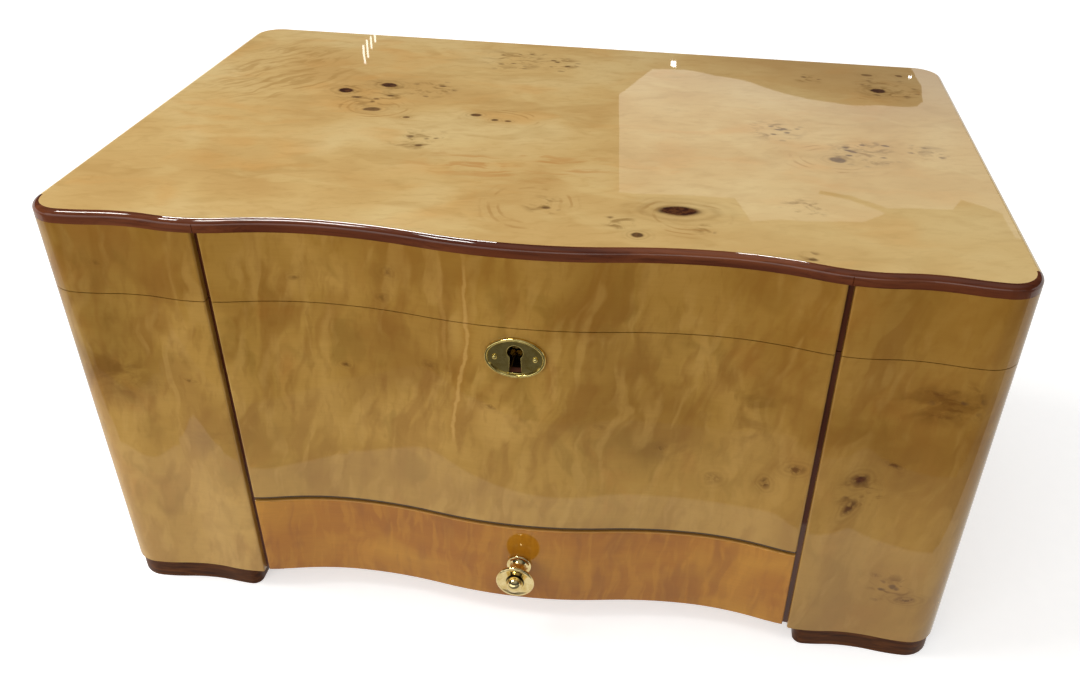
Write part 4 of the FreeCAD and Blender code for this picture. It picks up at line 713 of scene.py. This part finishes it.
def oval_plate():
    """The escutcheon: rings of points from the keyhole's edge to the oval rim and round its back.

    The keyhole is a round of radius 2.95 mm over a stem that widens from 4.0 to 4.7 mm. Each ring goes from
    the keyhole's outline to the plate's oval by straight lines from the plate's middle. The rim is a half
    round bead, and the plate inside it is dished by the square of the way from the keyhole to the rim.
    """
    middle, key_z, radius, drop = 137.975, 140.275, 2.95, 9.0
    half_foot, half_wide, half_tall = 2.35, 11.65, 8.65
    join = -math.asin(2.0 / radius)
    up_round = np.linspace(-math.pi / 2 - join, 1.5 * math.pi + join, 72)
    arc = np.stack([radius * np.cos(up_round), key_z + radius * np.sin(up_round)], axis=-1)
    stem_top, stem_foot = arc[-1], np.array([-half_foot, key_z - drop])
    side = stem_top + (stem_foot - stem_top) * np.linspace(0, 1, 22)[1:, None]
    foot = np.stack([np.linspace(-half_foot, half_foot, 14)[1:-1], np.full(12, key_z - drop)], axis=-1)
    other = side[::-1] * (-1, 1)
    hole = np.concatenate([arc, side, foot, other])
    away = hole - (0, middle)
    angle = np.arctan2(away[:, 1] / half_tall, away[:, 0] / half_wide)
    oval_line = lambda inset: np.stack([(half_wide - inset) * np.cos(angle),
                                        middle + (half_tall - inset) * np.sin(angle)], axis=-1)
    rings = []

    def ring(line, y):
        rings.append(np.stack([line[:, 0], np.full(len(line), y), line[:, 1]], axis=-1))

    grow = lambda amount: hole + amount * away / np.linalg.norm(away, axis=1)[:, None]
    back, face = -110.106, -111.006
    ring(hole, back)
    ring(hole, face + 0.25)
    ring(grow(0.10), face + 0.07)
    ring(grow(0.28), face)
    inner = oval_line(1.45)
    start = grow(0.28)
    for share in np.linspace(0, 1, 9)[1:]:
        ring(start + (inner - start) * share, face + 0.10 * share * share)
    for turn in np.radians(np.linspace(165, 0, 13)):
        ring(oval_line(0.68 + 0.68 * -math.cos(turn)), face + 0.10 - 0.90 * math.sin(turn))
    ring(oval_line(0.0), back)
    grid = np.stack(rings)
    return [(grid, True, True)]


piece("escutcheon_rolled", oval_plate(), plate_brass, "case", ["escutcheon"], 50.0)


# ---------------------------------------------------------------- studio

def floor_material():
    """Pale matt table top: white to the camera, pale in reflections, and it keeps the box's soft shadow.

    In reflections alone the table ends in front of the box, with a dimmer step and then the dim room.
    """
    material, tree = new_material("table_matt_white")
    rays = add(tree, "LightPath")
    mirrored = add(tree, "Math", MAXIMUM, rays.outputs["Is Glossy Ray"], rays.outputs["Is Transmission Ray"])
    where = placed(tree)
    tint = add(tree, "ValToRGB", {"stops": [(0.3, "F0EFED"), (0.7, "F5F4F2")]},
               add(tree, "TexNoise", None, where, 1 / 6.0, 2.0))
    diffuse = add(tree, "BsdfDiffuse", None, Color=tint)
    glow = add(tree, "Emission", None, Color="FFFFFF",
               Strength=add(tree, "Math", MULTIPLY, rays.outputs["Is Camera Ray"], 0.55))
    both = add(tree, "AddShader", None, diffuse, glow)
    # The table's front edge: y = -190 + 0.06 x mm; the step below it ends 60 mm further out
    place = add(tree, "SeparateXYZ", None, where)
    edge = add(tree, "Math", MULTIPLY_ADD, place.outputs["X"], -0.06, place.outputs["Y"])
    room = add(tree, "MapRange", SMOOTH, add(tree, "TexNoise", None, where, 1 / 260.0, 2.0), 0.35, 0.65, 0.11, 0.22)
    step = add(tree, "Math", MAXIMUM, room, add(tree, "MapRange", SMOOTH, edge, -256.0, -250.0, 0.0, 0.32))
    level = add(tree, "Math", MAXIMUM, step, add(tree, "MapRange", SMOOTH, edge, -193.0, -188.0, 0.0, 0.85))
    mirror_look = add(tree, "Emission", None, Color="FFF9F0", Strength=level)
    add(tree, "OutputMaterial", None, add(tree, "MixShader", None, mirrored, both, mirror_look))
    return material


def rectangle(left, right, foot, top):
    """The four corners of a rectangle."""
    return [(left, foot), (right, foot), (right, top), (left, top)]


def flat_shape(name, outline, material, y=None, z=None):
    """A flat face for the studio through (x, z) points in metres at a y, or (x, y) points at a z."""
    mesh = bpy.data.meshes.new(name)
    mesh.from_pydata([(float(x), float(up), z) if y is None else (float(x), y, float(up)) for x, up in outline],
                     [], [list(range(len(outline)))])
    mesh.materials.append(material)
    made = bpy.data.objects.new(name, mesh)
    bpy.context.collection.objects.link(made)
    return made


def glowing_card(name, low, high, z_low=0.0, z_high=1.0):
    """A card that shows only in polished surfaces, its strength going from low to high up its height in metres."""
    material, tree = new_material(name)
    rays = add(tree, "LightPath")
    height = add(tree, "SeparateXYZ", None, placed(tree)).outputs["Z"]
    strength = add(tree, "MapRange", None, height, 1000 * z_low, 1000 * z_high, low, high)
    glow = add(tree, "Emission", None, Color="FFFDF8", Strength=strength)
    clear = add(tree, "BsdfTransparent")
    add(tree, "OutputMaterial", None, add(tree, "MixShader", None, rays.outputs["Is Glossy Ray"], clear, glow))
    return material


def soft_light(name, place, target, size, power, colour="FFFFFF"):
    """A rectangular soft box that faces its target."""
    light = bpy.data.lights.new(name, "AREA")
    light.shape = "RECTANGLE"
    light.size, light.size_y = size
    light.energy = power
    light.color = paint(colour)[:3]
    lamp = bpy.data.objects.new(name, light)
    bpy.context.collection.objects.link(lamp)
    lamp.location = place
    away = np.array(place) - np.array(target)
    across = math.hypot(away[0], away[1])
    lamp.rotation_euler = (math.atan2(across, away[2]), 0, math.atan2(away[0], -away[1]) if across else 0)
    lamp.visible_glossy = False
    return lamp


def sky():
    """Even room light, a little stronger from the left; white to the camera.

    In reflections the room is white up to 13 degrees above the table, dim above that and ahead of the box,
    a little lighter at the ceiling, and bright again on the wall behind the camera.
    """
    world = bpy.data.worlds.new("studio")
    bpy.context.scene.world = world
    world.use_nodes = True
    tree = world.node_tree
    tree.nodes.clear()
    rays = add(tree, "LightPath")
    way = add(tree, "SeparateXYZ", None, add(tree, "TexCoord").outputs["Generated"])
    matt = add(tree, "Math", MULTIPLY_ADD, way.outputs["X"], -0.22, 0.50)
    dim = add(tree, "MapRange", SMOOTH, way.outputs["Z"], 0.215, 0.245, 1.0, 0.06)
    # In front of the box and to its right the room is dim down to the table
    ahead = add(tree, "Math", MULTIPLY, add(tree, "MapRange", SMOOTH, way.outputs["Y"], -0.35, -0.15, 1.0, 0.0),
                add(tree, "MapRange", SMOOTH, way.outputs["X"], -0.30, -0.05, 0.0, 1.0))
    dim = add(tree, "Math", MINIMUM, dim, add(tree, "Math", SUBTRACT, 1.0, add(tree, "Math", MULTIPLY, ahead, 0.88)))
    room = add(tree, "Math", ADD, dim, add(tree, "MapRange", SMOOTH, way.outputs["Z"], 0.6, 1.0, 0.0, 0.40))
    # A bright wall behind the camera, up to 25 degrees above the table and mostly to the left
    level = add(tree, "MapRange", SMOOTH, way.outputs["Z"], 0.10, 0.18)
    for axis, low, high, start, end in (("Z", 0.42, 0.52, 1.0, 0.0), ("Y", -0.60, -0.40, 1.0, 0.0),
                                        ("X", 0.10, 0.40, 1.7, 0.45)):
        level = add(tree, "Math", MULTIPLY, level,
                    add(tree, "MapRange", SMOOTH, way.outputs[axis], low, high, start, end))
    room = add(tree, "Math", MAXIMUM, room, level)
    mirrored = add(tree, "Math", MAXIMUM, rays.outputs["Is Glossy Ray"], rays.outputs["Is Transmission Ray"])
    part = add(tree, "Mix", MIX_FLOAT, mirrored, matt, room)
    strength = add(tree, "Mix", MIX_FLOAT, rays.outputs["Is Camera Ray"], part, 1.0)
    background = add(tree, "Background", None, Color="FFFFFF", Strength=strength)
    add(tree, "OutputWorld", None, background)


def camera():
    """The photograph's view: a phone held above the front left of the middle, looking down at the box."""
    data = bpy.data.cameras.new("view")
    data.sensor_width = 36
    data.lens = 33.42
    data.shift_x = -0.04595
    data.shift_y = 0.03004
    data.clip_start = 0.01
    eye = bpy.data.objects.new("view", data)
    bpy.context.collection.objects.link(eye)
    eye.location = (0.0581, -0.4127, 0.3441)
    eye.rotation_euler = (0.96597, -0.025716, 0.11798)
    bpy.context.scene.camera = eye


turn = np.linspace(0, 2 * math.pi, 96, endpoint=False)
flat_shape("floor", np.stack([6 * np.cos(turn), 6 * np.sin(turn)], axis=1), floor_material(), z=0.0)
sky()
camera()
soft_light("key", (-0.95, 0.0, 1.15), (0, 0, 0.1), (0.9, 0.9), 12)
soft_light("fill", (-0.75, -1.35, 0.75), (0, 0, 0.1), (1.0, 0.6), 5)

# The far wall 1.2 m behind the box has a pale part that the right of the lid mirrors (x, z in metres)
PALE_WALL = [(-0.07, 0.582), (-0.018, 0.539), (0.033, 0.536), (0.121, 0.545), (0.195, 0.562), (0.247, 0.571),
             (0.315, 0.577), (0.374, 0.574), (0.408, 0.57), (0.416, 0.563), (0.408, 0.539), (0.387, 0.511),
             (0.372, 0.483), (0.55, 0.475), (0.75, 0.803), (0.618, 0.791), (0.586, 0.745), (0.512, 0.723),
             (0.504, 0.742), (0.396, 0.751), (0.33, 0.732), (0.279, 0.727), (0.277, 0.733), (0.328, 0.74),
             (0.394, 0.759), (0.36, 0.778), (0.17, 0.792), (0.138, 0.75), (-0.062, 0.758)]
FAR_WALL_Y = 1.2
flat_shape("pale_wall", PALE_WALL, glowing_card("pale_wall_glow", 0.80, 0.55, 0.54, 0.75), FAR_WALL_Y)
# Higher on that wall, two bright windows make the line along the inner edge of the edging
window = glowing_card("window_glow", 45.0, 45.0)
flat_shape("window_left", [(-0.98, 1.05), (-0.30, 1.05), (-0.33, 1.27), (-1.05, 1.27)], window, FAR_WALL_Y)
flat_shape("window_right", [(0.15, 1.05), (0.28, 1.05), (0.26, 1.25), (0.16, 1.25)], window, FAR_WALL_Y)
# Lamps: two in the ceiling give the dashes on the edging, and three low ones the glints at the back of the lid
lamp_glow = glowing_card("lamp_glow", 30.0, 30.0)
for number, (left, right) in enumerate(((-1.40, -1.10), (-0.88, -0.58))):
    flat_shape(f"ceiling_lamp_{number}", rectangle(left, right, -0.36, 0.13), lamp_glow, z=2.2)
# The low lamp at the left hangs behind slats: it shows as slivers, as (left, right, foot, top)
low_glow = glowing_card("low_lamp_glow", 3.2, 3.2)
for number, sliver in enumerate((
        (-0.4975, -0.4940, 0.528, 0.560), (-0.4905, -0.4875, 0.519, 0.549), (-0.4835, -0.4805, 0.514, 0.534),
        (-0.4765, -0.4735, 0.510, 0.522), (-0.4700, -0.4520, 0.506, 0.509))):
    flat_shape(f"low_lamp_sliver_{number}", rectangle(*sliver), low_glow, FAR_WALL_Y)
# The two others hang a little in front of the pale wall
glint = glowing_card("low_lamp_small_glow", 10.0, 10.0)
flat_shape("low_lamp_middle", rectangle(0.012, 0.020, 0.520, 0.528), glint, FAR_WALL_Y - 0.01)
flat_shape("low_lamp_right", rectangle(0.383, 0.388, 0.520, 0.524), glint, FAR_WALL_Y - 0.01)
bpy.context.scene.view_settings.view_transform = "Standard"
